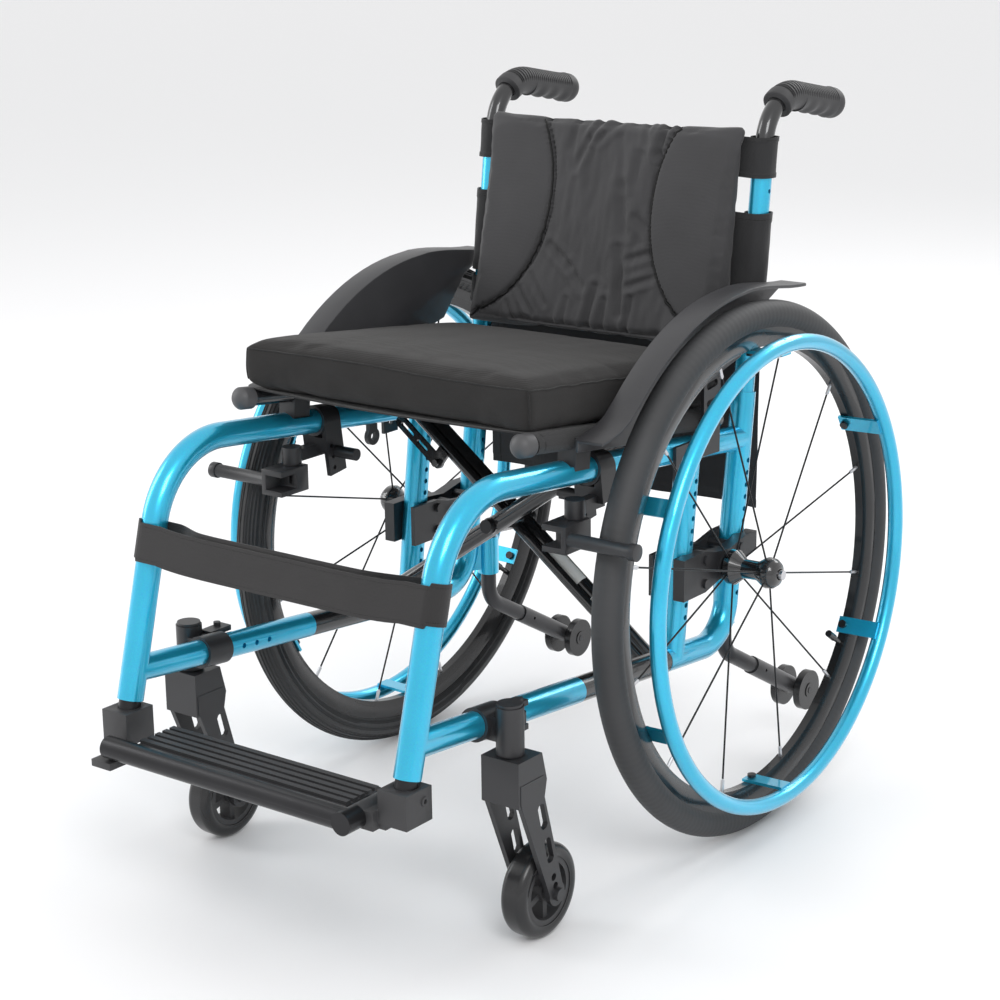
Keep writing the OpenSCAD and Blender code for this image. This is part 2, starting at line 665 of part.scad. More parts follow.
// The quick-release axle, fixed in the bracket
module axle_pin(s) {
    color(steel) on_axle(s) difference() {
        union() {
            translate([0, 0, bracket_in - wheel_x - 10]) cylinder(h = wheel_x - bracket_in + 10 + hub_out, r = axle_r);
            translate([0, 0, bracket_in - wheel_x - 10]) cylinder(h = 9, r = 11);
        }
        translate([0, 0, hub_out - 14]) cylinder(h = 20, r = 4 + run_gap);
    }
}

// The push button in the end of the axle
button_travel = 3;
module axle_button(s) {
    color(steel) on_axle(s) {
        translate([0, 0, hub_out - 14 + button_travel + 1]) cylinder(h = 14, r = 4);
        translate([0, 0, hub_out + button_travel + 0.9]) cylinder(h = 8, r = 5.4);
    }
}

// The bracket that is clamped to both uprights and carries the axle
module axle_bracket(s) {
    outer = wheel_x + hub_in - 4.2;
    inner_face = frame_x - tube_r - 2;
    outer_face = frame_x + tube_r - 4;
    color(black) on_side(s) difference() {
        union() {
            in_yz(bracket_in) linear_extrude(inner_face - bracket_in) bracket_outline();
            in_yz(outer_face) linear_extrude(outer - outer_face) bracket_outline();
            leaning_axle(bracket_in - wheel_x, hub_in - 0.6, 16);
            for (p = bracket_bolts) cross_rod(p, bracket_in - 4, outer + 3, 5.5);
        }
        side_rod(frame_x, [front_upright(200), 200], [front_upright(420), 420], tube_r + 0.05);
        side_rod(frame_x, [rear_upright(200), 200], [rear_upright(420), 420], tube_r + 0.05);
        leaning_axle(-120, 80, axle_r + 0.05);
    }
}
module leaning_axle(from, to, r) {
    translate([wheel_x, 0, axle_z]) rotate([0, 90 - camber, 0]) translate([0, 0, from]) cylinder(h = to - from, r = r);
}
module bracket_outline() {
    polygon([
        [front_upright_y - 26, axle_z - 22], [front_upright_y + 20, axle_z - 22], [-14, axle_z - 15], [14, axle_z - 12],
        [rear_upright_y + 2, axle_z - 2], [rear_upright_y + 18, axle_z + 2], [rear_upright_y + 18, axle_z + 24],
        [rear_upright_y - 8, axle_z + 24], [10, axle_z + 17], [-20, axle_z + 20], [front_upright_y + 18, axle_z + 26],
        [front_upright_y - 26, axle_z + 26]
    ]);
}
bracket_bolts = [
    [front_upright_y + 19, axle_z + 16], [front_upright_y + 19, axle_z - 12], [rear_upright_y - 18, axle_z + 13]
];

// ---- side guards ----

guard_x = frame_x + 19;
guard_t = 4;
guard_w = 34;
guard_top = axle_z + 318;
guard_nose_z = axle_z + 205;
guard_front_y = -288;
guard_tip_y = 122;
function larger(a, b, soft) = (a + b + sqrt(pow(a - b, 2) + pow(soft, 2))) / 2;
function guard_circle(y) = axle_z + sqrt(pow(guard_top - axle_z, 2) - pow(y, 2));
function guard_z(y) = y < 0
    ? larger(guard_circle(y), guard_nose_z + (y - guard_front_y) * 0.12, 18)
    : larger(guard_circle(y), guard_top - 7 - y * 0.03, 8);
guard_arc = [for (i = [0:24]) let (y = guard_front_y + i * (guard_tip_y - guard_front_y) / 24) [y, guard_z(y)]];
guard_under = [for (i = [24:-1:0]) guard_arc[i] - [0, guard_t]];

// The moulded guard beside the seat, with the flange that covers the top of the tyre
module side_guard(s) {
    color(satin) on_side(s) {
        in_yz(guard_x) linear_extrude(guard_w) polygon(concat(guard_arc, guard_under));
        in_yz(guard_x) linear_extrude(guard_t) polygon(concat(guard_arc,
            [[guard_tip_y, guard_z(guard_tip_y) - guard_t], [72, 588], [30, 540], [-90, 512], [-200, 486],
                [guard_front_y, guard_z(guard_front_y) - 14]]));
    }
}

// The slotted plate that carries the guard on the upper tube
module guard_bracket(s) {
    x = frame_x + tube_r + 0.4;
    color(black) on_side(s) difference() {
        in_yz(x) linear_extrude(guard_x - 0.2 - x) difference() {
            translate([0, upper_tube_z(-40)])
                polygon([[-96, -28], [-70, -28], [-70, -7], [-6, -9], [-6, 92], [-40, 92], [-40, 14], [-96, 14]]);
            for (i = [0:2]) slot_outline([-30, upper_tube_z(-40) + 30 + i * 20], [-16, upper_tube_z(-40) + 32 + i * 20], 4);
        }
        cross_rod([-83, upper_tube_z(-40) - 16], x - 5, guard_x + 5, 3);
    }
}

// ---- anti-tip wheels ----

antitip_x = frame_x - 16;
antitip_y = rear_upright_y + 15;
antitip_top = 266;
antitip_corner = [antitip_y, 174];
antitip_axle = [240, 76];
antitip_wheel_r = 25;
socket_foot = 210;
socket_top = 258;

// The socket behind the rear upright, with its web
module antitip_socket() {
    web = [frame_x - antitip_x, rear_upright(socket_foot) - antitip_y];
    translate([antitip_x, antitip_y, socket_foot]) {
        cylinder(h = socket_top - socket_foot, r = 13);
        translate([0, 0, 6]) rotate(atan2(web.y, web.x)) translate([0, -5, 0]) cube([norm(web), 10, socket_top - socket_foot - 12]);
    }
}
module antitip_bore() {
    translate([antitip_x, antitip_y, socket_foot - 5]) cylinder(h = socket_top - socket_foot + 10, r = 9.5 + run_gap);
}

// The bent tube that turns in its socket behind the rear upright
module antitip_tube(s) {
    u = unit(antitip_axle - antitip_corner);
    color(satin) on_side(s) difference() {
        union() {
            bent_tube(antitip_x, [antitip_y, antitip_top], antitip_corner, antitip_corner + u * 88, 34, 9.5);
            side_rod(antitip_x, antitip_corner + u * 74, antitip_axle - u * 14, 11);
            side_rod(antitip_x, antitip_axle - u * 30, antitip_axle, 7);
            cross_rod(antitip_axle, antitip_x - 22, antitip_x + 22, 4);
            translate([antitip_x, antitip_y, antitip_top - 3]) cylinder(h = 4, r = 10.6);
        }
        cross_rod(antitip_corner + u * 96, antitip_x - 30, antitip_x + 30, 2);
    }
}

// The pair of small wheels on the anti-tip axle
module antitip_wheels(s) {
    color(black) on_side(s) translate([antitip_x, antitip_axle.x, antitip_axle.y]) rotate([0, 90, 0])
        for (m = [0, 1]) mirror([0, 0, m]) rotate_extrude() difference() {
            union() {
                translate([0, 8]) square([9, 13.5]);
                translate([0, 11.5]) square([antitip_wheel_r - 3, 9]);
                translate([antitip_wheel_r - 5, 16]) circle(r = 4.5);
                translate([antitip_wheel_r - 5, 11.5]) square([5, 9]);
            }
            translate([-30, 0]) square([34 + run_gap, 60]);
        }
}

// ---- back ----

grip_len = 142;
handle_bend_r = 55;
handle_fall = 10;
handle_r = post_r - 1.5;
handle_corner_z = handle_z + 19;
handle_corner = [rear_upright(handle_corner_z), handle_corner_z];
handle_dir = [cos(handle_fall), -sin(handle_fall)];
post_top_z = handle_corner_z - 62;

// The back post and the thinner bent tube of the push handle in its top
module back_post(s) {
    color(blue) on_side(s) difference() {
        union() {
            side_rod(frame_x, [rear_upright(post_foot_z + 1), post_foot_z + 1], [rear_upright(post_top_z), post_top_z], post_r);
            bent_tube(frame_x, [rear_upright(post_top_z - 10), post_top_z - 10], handle_corner,
                handle_corner + handle_dir * grip_len, handle_bend_r, handle_r);
        }
        cross_rod([rear_upright(716), 716], frame_x - 30, frame_x + 30, 2.5);
    }
}

// The moulded hand grip on the straight end of the handle
module push_grip(s) {
    grip_start = 62;
    color(black) on_side(s) in_yz(frame_x) translate(handle_corner) rotate(-handle_fall) rotate([0, 90, 0])
        difference() {
            union() {
                translate([0, 0, grip_start]) cylinder(h = 10, r = 17);
                translate([0, 0, grip_start + 4]) cylinder(h = grip_len - grip_start, r = 15.5);
                translate([0, 0, grip_len + 2]) sphere(r = 17.5);
            }
            translate([0, 0, -1]) cylinder(h = grip_len + 2, r = handle_r + 0.1);
        }
}

// ---- cross brace ----

// The brace's own frame: x across, y along the fold axes, z square to both, from the lower pivot line
module brace_frame() {
    chair() translate([0, brace_y, lower_tube_z(brace_y)]) rotate([-rake, 0, 0]) children();
}

// One leg: two tubes from the pivot sleeve on the left up to the right, with the boss for the centre bolt
module brace_leg(front, rear) {
    rise = [0, 0, brace_h];
    difference() {
        union() {
            rod([frame_x, seat_gap - front, 0], [frame_x, rear - seat_gap, 0], sleeve_r);
            rod([frame_x, brace_main_v, 0], [-frame_x, brace_main_v, 0] + rise, brace_r);
            rod([frame_x, brace_thin_v, 0], [-frame_x, brace_thin_v, 0] + rise, brace_thin_r);
            rod([0, seat_gap / 2, brace_h / 2], [0, brace_main_v + brace_r, brace_h / 2], 9.5);
            translate([-frame_x, -1, brace_h]) rotate([0, brace_tilt, 0]) stop_bar();
        }
        rod([frame_x, -200, 0], [frame_x, 200, 0], pivot_r + run_gap);
        rod([0, -80, brace_h / 2], [0, 80, brace_h / 2], bolt_r + run_gap);
    }
}

// The slotted stop bar and its tab, drawn from the top of the leg down its own line
module stop_bar() {
    near = 46;
    far = 116;
    drop = 18;
    translate([0, 4.4, 0]) rotate([90, 0, 0]) linear_extrude(4.4) difference() {
        union() {
            link_outline([near, -drop], [far, -drop], 7);
            translate([far - 10, -drop]) square([16, drop]);
        }
        link_outline([near + 4, -drop], [near + 22, -drop], 2.6);
        link_outline([near + 34, -drop], [near + 48, -drop], 2.6);
    }
    translate([far, 6, -drop]) rotate([90, 0, 0]) cylinder(h = 12, r = 4.4);
}
module brace_a() {
    color(black) {
        brace_frame() brace_leg(sleeve_front, sleeve_rear);
        seat_rail(-1);
    }
}
module brace_b() {
    color(black) {
        brace_frame() rotate([0, 0, 180]) brace_leg(sleeve_rear, sleeve_front);
        seat_rail(1);
    }
}
module seat_rail(s) {
    rear_y = rail_front_y + rail_len * cos(seat_rake);
    on_side(s) side_rod(frame_x, [rail_front_y, rail_z(rail_front_y)], [rear_y, rail_z(rear_y)], rail_r);
}

// The bolt through the crossing
module brace_bolt() {
    reach = brace_main_v + brace_r + seat_gap;
    color(steel) brace_frame() {
        rod([0, -reach - 1, brace_h / 2], [0, reach + 1, brace_h / 2], bolt_r);
        rod([0, reach, brace_h / 2], [0, reach + 7, brace_h / 2], 8);
        rod([0, -reach - 7, brace_h / 2], [0, -reach, brace_h / 2], 8);
    }
}

// The domed cap on the front end of a seat rail
module rail_cap(s) {
    color(satin) on_side(s) translate([frame_x, rail_front_y, rail_front_z]) rotate([90 - seat_rake, 0, 0])
        rotate_extrude() difference() {
            union() {
                translate([0, -14]) square([12.5, 14]);
                intersection() {
                    translate([0, -6]) circle(r = 14);
                    translate([0, 0]) square([12.5, 20]);
                }
            }
            translate([-1, -20]) square([rail_r + 1.05, 20]);
            translate([-40, -40]) square([40, 80]);
        }
}

// ---- soft goods ----

// The sling that spans the seat rails
module seat_sling() {
    rear_y = rail_front_y + rail_len - 14;
    front_y = rail_front_y + 18;
    t = 3;
    lift = rail_r + seat_gap;
    color(cloth) chair() in_yz(-frame_x - 9) linear_extrude(2 * frame_x + 18)
        polygon([[front_y, rail_z(front_y) + lift], [rear_y, rail_z(rear_y) + lift],
            [rear_y, rail_z(rear_y) + lift + t], [front_y, rail_z(front_y) + lift + t]]);
}

// The box cushion, thicker at the back
module seat_cushion() {
    front_y = rail_front_y + 6;
    rear_y = front_y + cushion_len;
    lift = rail_r + 2 * seat_gap + 3;
    base = rail_z(front_y) + lift;
    base_rear = rail_z(rear_y) + lift;
    color(cloth) chair() in_yz(-cushion_w / 2) linear_extrude(cushion_w)
        polygon([[front_y, base], [rear_y, base_rear], [rear_y - 4, base_rear + cushion_rear_t],
            [front_y - 2, base + cushion_front_t + 8]]);
}

// The padded back between the posts, with the sleeves that hold it to them
back_foot_z = 542;
back_top_z = handle_z - 14;
module back_upholstery() {
    half = frame_x - 10;
    front_clear = tube_r + 1.2;
    color(cloth) chair() {
        in_yz(-half) linear_extrude(2 * half)
            polygon([[rear_upright(back_foot_z) - 56, back_foot_z], [rear_upright(back_foot_z) - front_clear, back_foot_z],
                [rear_upright(back_top_z) - front_clear, back_top_z], [rear_upright(back_top_z) - 26, back_top_z]]);
        for (m = [0, 1]) mirror([m, 0, 0]) {
            post_sleeve(596, 694);
            post_sleeve(728, post_top_z + 13);
        }
    }
}
module post_sleeve(z0, z1) {
    difference() {
        union() {
            side_rod(frame_x, [rear_upright(z0), z0], [rear_upright(z1), z1], post_r + 2.4);
            block([frame_x - tube_r - 2, rear_upright(z0) - 20, z0 + 2], [frame_x - 4, rear_upright(z0) + 2, z1 - 14]);
        }
        side_rod(frame_x, [rear_upright(z0 - 40), z0 - 40], [rear_upright(z1 + 40), z1 + 40], post_r + seat_gap);
    }
}

// The loose cloth flap that hangs behind the posts
module back_flap() {
    foot = 352;
    top = 590;
    y0 = rear_upright(top) + post_r / cos(upright_lean) + seat_gap;
    half = frame_x + 4;
    color(cloth) chair() in_yz(-half) linear_extrude(2 * half)
        polygon([[y0, foot], [y0 + 4, foot], [y0 + 4, top], [y0, top]]);
}

// The strap behind the calves, looped round both front legs
strap_h = 40;
strap_mid_z = 386;
module calf_strap() {
    inner = tube_r + seat_gap;
    outer = inner + 3;
    color(cloth) chair() translate([0, leg_y(strap_mid_z), strap_mid_z]) rotate([-leg_lean, 0, 0])
        translate([0, 0, -strap_h / 2]) linear_extrude(strap_h) difference() {
            union() {
                for (m = [-1, 1]) translate([m * frame_x, 0]) circle(r = outer);
                translate([-frame_x, -outer]) square([frame_gap, 3]);
            }
            for (m = [-1, 1]) translate([m * frame_x, 0]) circle(r = inner);
        }
}

side_frame(1);  // left_side_frame
side_frame(-1);  // right_side_frame
leg_extension(1);  // left_leg_extension
leg_extension(-1);  // right_leg_extension
left_footrest_clamp();
right_footrest_clamp();
footplate_tube();
footplate_tread();
caster_housing(1);  // left_caster_housing
caster_housing(-1);  // right_caster_housing
caster_fork(1);  // left_caster_fork
caster_fork(-1);  // right_caster_fork
caster_tyre(1);  // left_caster_tyre
caster_tyre(-1);  // right_caster_tyre
caster_hub(1);  // left_caster_hub
caster_hub(-1);  // right_caster_hub
tube_fittings(1);  // left_tube_fittings
tube_fittings(-1);  // right_tube_fittings
brake_mount(1);  // left_brake_mount
brake_mount(-1);  // right_brake_mount
brake_lever(1);  // left_brake_lever
brake_lever(-1);  // right_brake_lever
axle_bracket(1);  // left_axle_bracket
axle_bracket(-1);  // right_axle_bracket
axle_pin(1);  // left_axle_pin
axle_pin(-1);  // right_axle_pin
axle_button(1);  // left_axle_button
axle_button(-1);  // right_axle_button
tyre(1);  // left_tyre
tyre(-1);  // right_tyre
rim(1);  // left_rim
rim(-1);  // right_rim
spokes(1);  // left_spokes
spokes(-1);  // right_spokes
hub(1);  // left_hub
hub(-1);  // right_hub
handrim(1);  // left_handrim
handrim(-1);  // right_handrim
guard_bracket(1);  // left_guard_bracket
guard_bracket(-1);  // right_guard_bracket
side_guard(1);  // left_side_guard
side_guard(-1);  // right_side_guard
antitip_tube(1);  // left_antitip_tube
antitip_tube(-1);  // right_antitip_tube
antitip_wheels(1);  // left_antitip_wheels
antitip_wheels(-1);  // right_antitip_wheels
back_post(1);  // left_back_post
back_post(-1);  // right_back_post
push_grip(1);  // left_push_grip
push_grip(-1);  // right_push_grip
brace_a();
brace_b();
brace_bolt();
rail_cap(1);  // left_rail_cap
rail_cap(-1);  // right_rail_cap
seat_sling();
seat_cushion();
back_upholstery();
back_flap();
calf_strap();
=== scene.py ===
import bpy
import json
import math
from mathutils import Matrix, Vector, noise

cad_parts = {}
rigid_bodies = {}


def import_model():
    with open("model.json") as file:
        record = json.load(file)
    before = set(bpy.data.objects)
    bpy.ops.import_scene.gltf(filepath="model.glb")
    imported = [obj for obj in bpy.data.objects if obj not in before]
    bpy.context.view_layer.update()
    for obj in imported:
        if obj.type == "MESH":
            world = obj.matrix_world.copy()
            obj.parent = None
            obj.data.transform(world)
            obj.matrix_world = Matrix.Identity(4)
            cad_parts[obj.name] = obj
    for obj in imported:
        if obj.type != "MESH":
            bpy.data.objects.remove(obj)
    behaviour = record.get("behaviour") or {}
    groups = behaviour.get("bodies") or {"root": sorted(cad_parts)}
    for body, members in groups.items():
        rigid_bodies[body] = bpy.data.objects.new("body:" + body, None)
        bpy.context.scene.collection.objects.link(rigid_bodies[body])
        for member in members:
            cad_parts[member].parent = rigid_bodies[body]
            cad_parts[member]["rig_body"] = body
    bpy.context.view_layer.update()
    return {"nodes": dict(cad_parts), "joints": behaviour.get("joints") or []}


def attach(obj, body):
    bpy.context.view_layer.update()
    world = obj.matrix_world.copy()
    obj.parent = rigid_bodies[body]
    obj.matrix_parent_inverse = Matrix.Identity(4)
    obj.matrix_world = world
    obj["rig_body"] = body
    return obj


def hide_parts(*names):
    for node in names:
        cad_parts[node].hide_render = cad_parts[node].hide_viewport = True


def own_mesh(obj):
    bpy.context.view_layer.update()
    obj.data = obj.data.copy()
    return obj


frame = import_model()


# ---- Camera ----
# The chair is seen from its front left corner, from a little above the seat.
turned, raised, roll = math.radians(37.04), math.radians(15.61), math.radians(-0.73)
camera_place = (1.49403, -1.96998, 1.07232)
sight = Vector((math.sin(turned) * math.cos(raised), -math.cos(turned) * math.cos(raised), math.sin(raised)))
level = Vector((math.cos(turned), math.sin(turned), 0))
upright = sight.cross(level)
across = math.cos(roll) * level + math.sin(roll) * upright
above = math.cos(roll) * upright - math.sin(roll) * level
camera = bpy.data.objects.new("camera", bpy.data.cameras.new("camera"))
bpy.context.scene.collection.objects.link(camera)
camera.data.lens = 81.64
camera.data.sensor_width = 36
camera.data.clip_start = 0.05
facing = Matrix((across, above, sight)).transposed().to_4x4()
camera.matrix_world = Matrix.Translation(camera_place) @ facing
bpy.context.scene.camera = camera


# ---- Side frames, back posts and handrims ----
# Welded aluminium tube in a clear-coated metallic blue.
# The back posts turn black above the upper sleeve, where they become the push handles.
def finish(name, colour, rough, metallic=0.0, grain=700.0, bump=0.1, vary=0.12, coat=0.0, patch=14.0):
    """A finish with its own mottling, uneven gloss and surface grain."""
    made = bpy.data.materials.new(name)
    made.use_nodes = True
    nodes, links = made.node_tree.nodes, made.node_tree.links
    shade = nodes["Principled BSDF"]
    shade.inputs["Metallic"].default_value = metallic
    shade.inputs["Coat Weight"].default_value = coat
    shade.inputs["Coat Roughness"].default_value = 0.06
    place = nodes.new("ShaderNodeTexCoord")
    broad = nodes.new("ShaderNodeTexNoise")
    broad.name = "broad"
    broad.inputs["Scale"].default_value = patch
    broad.inputs["Detail"].default_value = 5
    fine = nodes.new("ShaderNodeTexNoise")
    fine.name = "fine"
    fine.inputs["Scale"].default_value = grain
    fine.inputs["Detail"].default_value = 2
    tint = nodes.new("ShaderNodeValToRGB")
    tint.name = "tint"
    tint.color_ramp.elements[0].position = 0.35
    tint.color_ramp.elements[1].position = 0.65
    tint.color_ramp.elements[0].color = [c * (1 - vary) for c in colour] + [1]
    tint.color_ramp.elements[1].color = [min(1, c * (1 + vary)) for c in colour] + [1]
    gloss = nodes.new("ShaderNodeMapRange")
    gloss.name = "gloss"
    gloss.inputs["To Min"].default_value = rough * 0.82
    gloss.inputs["To Max"].default_value = min(1, rough * 1.18)
    relief = nodes.new("ShaderNodeBump")
    relief.name = "relief"
    relief.inputs["Strength"].default_value = bump
    relief.inputs["Distance"].default_value = 0.0006
    links.new(place.outputs["Object"], broad.inputs["Vector"])
    links.new(place.outputs["Object"], fine.inputs["Vector"])
    links.new(broad.outputs["Fac"], tint.inputs["Fac"])
    links.new(tint.outputs["Color"], shade.inputs["Base Color"])
    links.new(broad.outputs["Fac"], gloss.inputs["Value"])
    links.new(gloss.outputs["Result"], shade.inputs["Roughness"])
    links.new(fine.outputs["Fac"], relief.inputs["Height"])
    links.new(relief.outputs["Normal"], shade.inputs["Normal"])
    return made


def clean_copy(node, material, smooth=38, edge=0.0):
    """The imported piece, welded into one skin and smoothed, in its finish."""
    packed = frame["nodes"][node]
    piece = bpy.data.objects.new(node + "_shown", packed.data.copy())
    bpy.context.scene.collection.objects.link(piece)
    bpy.ops.object.select_all(action="DESELECT")
    bpy.context.view_layer.objects.active = piece
    piece.select_set(True)
    bpy.ops.object.mode_set(mode="EDIT")
    bpy.ops.mesh.select_all(action="SELECT")
    bpy.ops.mesh.customdata_custom_splitnormals_clear()
    bpy.ops.mesh.remove_doubles(threshold=0.00001)
    bpy.ops.mesh.dissolve_limited(angle_limit=math.radians(0.5))
    bpy.ops.object.mode_set(mode="OBJECT")
    if edge:
        rounding = piece.modifiers.new("edges", "BEVEL")
        rounding.width = edge
        rounding.segments = 2
        rounding.angle_limit = math.radians(40)
        rounding.use_clamp_overlap = True
        bpy.ops.object.modifier_apply(modifier="edges")
    bpy.ops.object.shade_smooth_by_angle(angle=math.radians(smooth))
    piece.data.materials.clear()
    piece.data.materials.append(material)
    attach(piece, packed["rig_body"])
    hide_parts(node)
    return piece


blue_paint = finish("blue metallic paint", (0.020, 0.47, 0.72), 0.30, metallic=0.75, grain=2600, bump=0.03,
                    vary=0.08, coat=1.0, patch=5)
flakes = blue_paint.node_tree.nodes.new("ShaderNodeTexVoronoi")
flakes.inputs["Scale"].default_value = 1500
flake_tone = blue_paint.node_tree.nodes.new("ShaderNodeMix")
flake_tone.data_type = "RGBA"
flake_tone.blend_type = "OVERLAY"
flake_tone.inputs[0].default_value = 0.10
blue_paint.node_tree.links.new(blue_paint.node_tree.nodes["tint"].outputs["Color"], flake_tone.inputs[6])
blue_paint.node_tree.links.new(flakes.outputs["Color"], flake_tone.inputs[7])
blue_shade = blue_paint.node_tree.nodes["Principled BSDF"]
blue_paint.node_tree.links.new(flake_tone.outputs[2], blue_shade.inputs["Base Color"])
blue_paint.node_tree.links.new(blue_paint.node_tree.nodes["fine"].outputs["Fac"],
                               blue_paint.node_tree.nodes["relief"].inputs["Height"])
flakes_place = [n for n in blue_paint.node_tree.nodes if n.type == "TEX_COORD"][0]
blue_paint.node_tree.links.new(flakes_place.outputs["Object"], flakes.inputs["Vector"])

post_paint = blue_paint.copy()
post_paint.name = "back post paint"
post_nodes, post_links = post_paint.node_tree.nodes, post_paint.node_tree.links
height = post_nodes.new("ShaderNodeSeparateXYZ")
band = post_nodes.new("ShaderNodeMapRange")
band.inputs["From Min"].default_value = 0.765
band.inputs["From Max"].default_value = 0.772
two_tone = post_nodes.new("ShaderNodeMix")
two_tone.data_type = "RGBA"
two_tone.inputs[7].default_value = (0.03, 0.03, 0.032, 1)
post_blue = post_nodes["Principled BSDF"].inputs["Base Color"].links[0].from_socket
post_links.new([n for n in post_nodes if n.type == "TEX_COORD"][0].outputs["Object"], height.inputs["Vector"])
post_links.new(height.outputs["Z"], band.inputs["Value"])
post_links.new(band.outputs["Result"], two_tone.inputs[0])
post_links.new(post_blue, two_tone.inputs[6])
post_links.new(two_tone.outputs[2], post_nodes["Principled BSDF"].inputs["Base Color"])

for side in ("left", "right"):
    clean_copy(side + "_side_frame", blue_paint)
    clean_copy(side + "_handrim", blue_paint)
    clean_copy(side + "_back_post", post_paint)


# ---- Cross brace, its bolt and the rail caps ----
# Black powder-coated steel tube with a thick glossy film. Each leg carries its seat rail and a slotted
# stop bar, and the two turn on one bolt. The rail ends wear grey moulded caps.
gloss_black = finish("gloss black paint", (0.012, 0.012, 0.013), 0.22, grain=420, bump=0.06, vary=0.25,
                     coat=0.7)
bolt_black = finish("black oxide steel", (0.030, 0.030, 0.031), 0.38, metallic=0.7, grain=1300, bump=0.12,
                    vary=0.3)
cap_grey = finish("grey moulded cap", (0.060, 0.060, 0.063), 0.5, grain=900, bump=0.14)
clean_copy("brace_a", gloss_black)
clean_copy("brace_b", gloss_black)
clean_copy("brace_bolt", bolt_black)
clean_copy("left_rail_cap", cap_grey)
clean_copy("right_rail_cap", cap_grey)


# ---- Labels on the brace ----
# Two white paper labels stuck round the front of one brace leg, left blank, and carried by the leg.
frame_x = 0.190
def skin(name, along, around, place, closed=False):
    """A fine grid laid onto a surface: place(u, v) gives the point for u and v from 0 to 1."""
    bpy.ops.object.select_all(action="DESELECT")
    bpy.ops.mesh.primitive_grid_add(x_subdivisions=along, y_subdivisions=around, size=2)
    piece = bpy.context.object
    piece.name = name
    for vertex in piece.data.vertices:
        vertex.co = place((vertex.co.x + 1) / 2, (vertex.co.y + 1) / 2)
    bpy.ops.object.mode_set(mode="EDIT")
    bpy.ops.mesh.select_all(action="SELECT")
    bpy.ops.mesh.remove_doubles(threshold=0.00002)
    if closed:
        bpy.ops.mesh.normals_make_consistent(inside=False)
    bpy.ops.object.mode_set(mode="OBJECT")
    bpy.ops.object.shade_smooth_by_angle(angle=math.radians(60))
    return piece


label_paper = finish("label paper", (0.74, 0.74, 0.72), 0.42, grain=900, bump=0.03, vary=0.03)
fold_joint = next(j for j in frame["joints"] if j["name"] == "fold")
fold_axis = Vector(fold_joint["axis"]).normalized()
brace_up = Vector((1, 0, 0)).cross(fold_axis).normalized()
main_tube_back, brace_rise, label_radius = 0.026, 0.27055, 0.01065
brace_foot = Vector(fold_joint["pos_m"]) + fold_axis * main_tube_back
brace_head = brace_foot + Vector((-2 * frame_x, 0, 0)) + brace_up * brace_rise
leg_upper_face = (brace_head - brace_foot).cross(fold_axis).normalized()
leg_upper_face = leg_upper_face if leg_upper_face.z > 0 else -leg_upper_face
label_places = (("small_brace_label", 0.12, 0.22), ("large_brace_label", 0.27, 0.38))
for label_name, label_start, label_end in label_places:
    def label_point(u, v):
        middle = brace_foot.lerp(brace_head, label_start + (label_end - label_start) * u)
        angle = math.radians(-50 + 140 * v)
        return middle + (leg_upper_face * math.sin(angle) - fold_axis * math.cos(angle)) * label_radius

    label = skin(label_name, 24, 24, label_point)
    label.data.materials.append(label_paper)
    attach(label, "brace_a")


# ---- Leg extensions, footrest, clamps and casters ----
# The extension is black anodised tube; clamps, tread and hubs are glass-filled nylon with a fine
# spark texture;
# the fork is powder-coated aluminium and the caster tyre is solid polished rubber.
anodised = finish("black anodised tube", (0.022, 0.022, 0.024), 0.34, metallic=0.6, grain=1800, bump=0.06)
nylon = finish("black nylon", (0.030, 0.030, 0.032), 0.50, grain=1100, bump=0.22, vary=0.15)
satin_black = finish("satin powder coat", (0.020, 0.020, 0.022), 0.40, grain=820, bump=0.16, vary=0.15)
caster_rubber = finish("polished caster rubber", (0.014, 0.014, 0.015), 0.26, grain=500, bump=0.05, vary=0.2)
for side in ("left", "right"):
    clean_copy(side + "_leg_extension", anodised)
    clean_copy(side + "_footrest_clamp", nylon, edge=0.0008)
    clean_copy(side + "_caster_housing", satin_black)
    clean_copy(side + "_caster_fork", satin_black)
    clean_copy(side + "_caster_tyre", caster_rubber)
    clean_copy(side + "_caster_hub", nylon)
clean_copy("footplate_tube", anodised)
clean_copy("footplate_tread", nylon)


# ---- Fittings, brakes, axle brackets and anti-tip wheels ----
# Moulded nylon saddles and eyelets, laser-cut and folded black steel for the brakes and the axle brackets,
# and an anodised tube with twin rubber wheels behind.
anti_grey = finish("dark anodised tube", (0.050, 0.050, 0.053), 0.36, metallic=0.6, grain=1500, bump=0.08)
pin_steel = finish("polished steel", (0.55, 0.55, 0.57), 0.22, metallic=1.0, grain=1600, bump=0.04, vary=0.06)
for side in ("left", "right"):
    clean_copy(side + "_tube_fittings", nylon)
    clean_copy(side + "_brake_mount", satin_black)
    clean_copy(side + "_brake_lever", satin_black, edge=0.0008)
    clean_copy(side + "_axle_bracket", satin_black)
    clean_copy(side + "_axle_pin", pin_steel)
    clean_copy(side + "_axle_button", pin_steel)
    clean_copy(side + "_guard_bracket", satin_black)
    clean_copy(side + "_antitip_tube", anti_grey)
    clean_copy(side + "_antitip_wheels", caster_rubber)


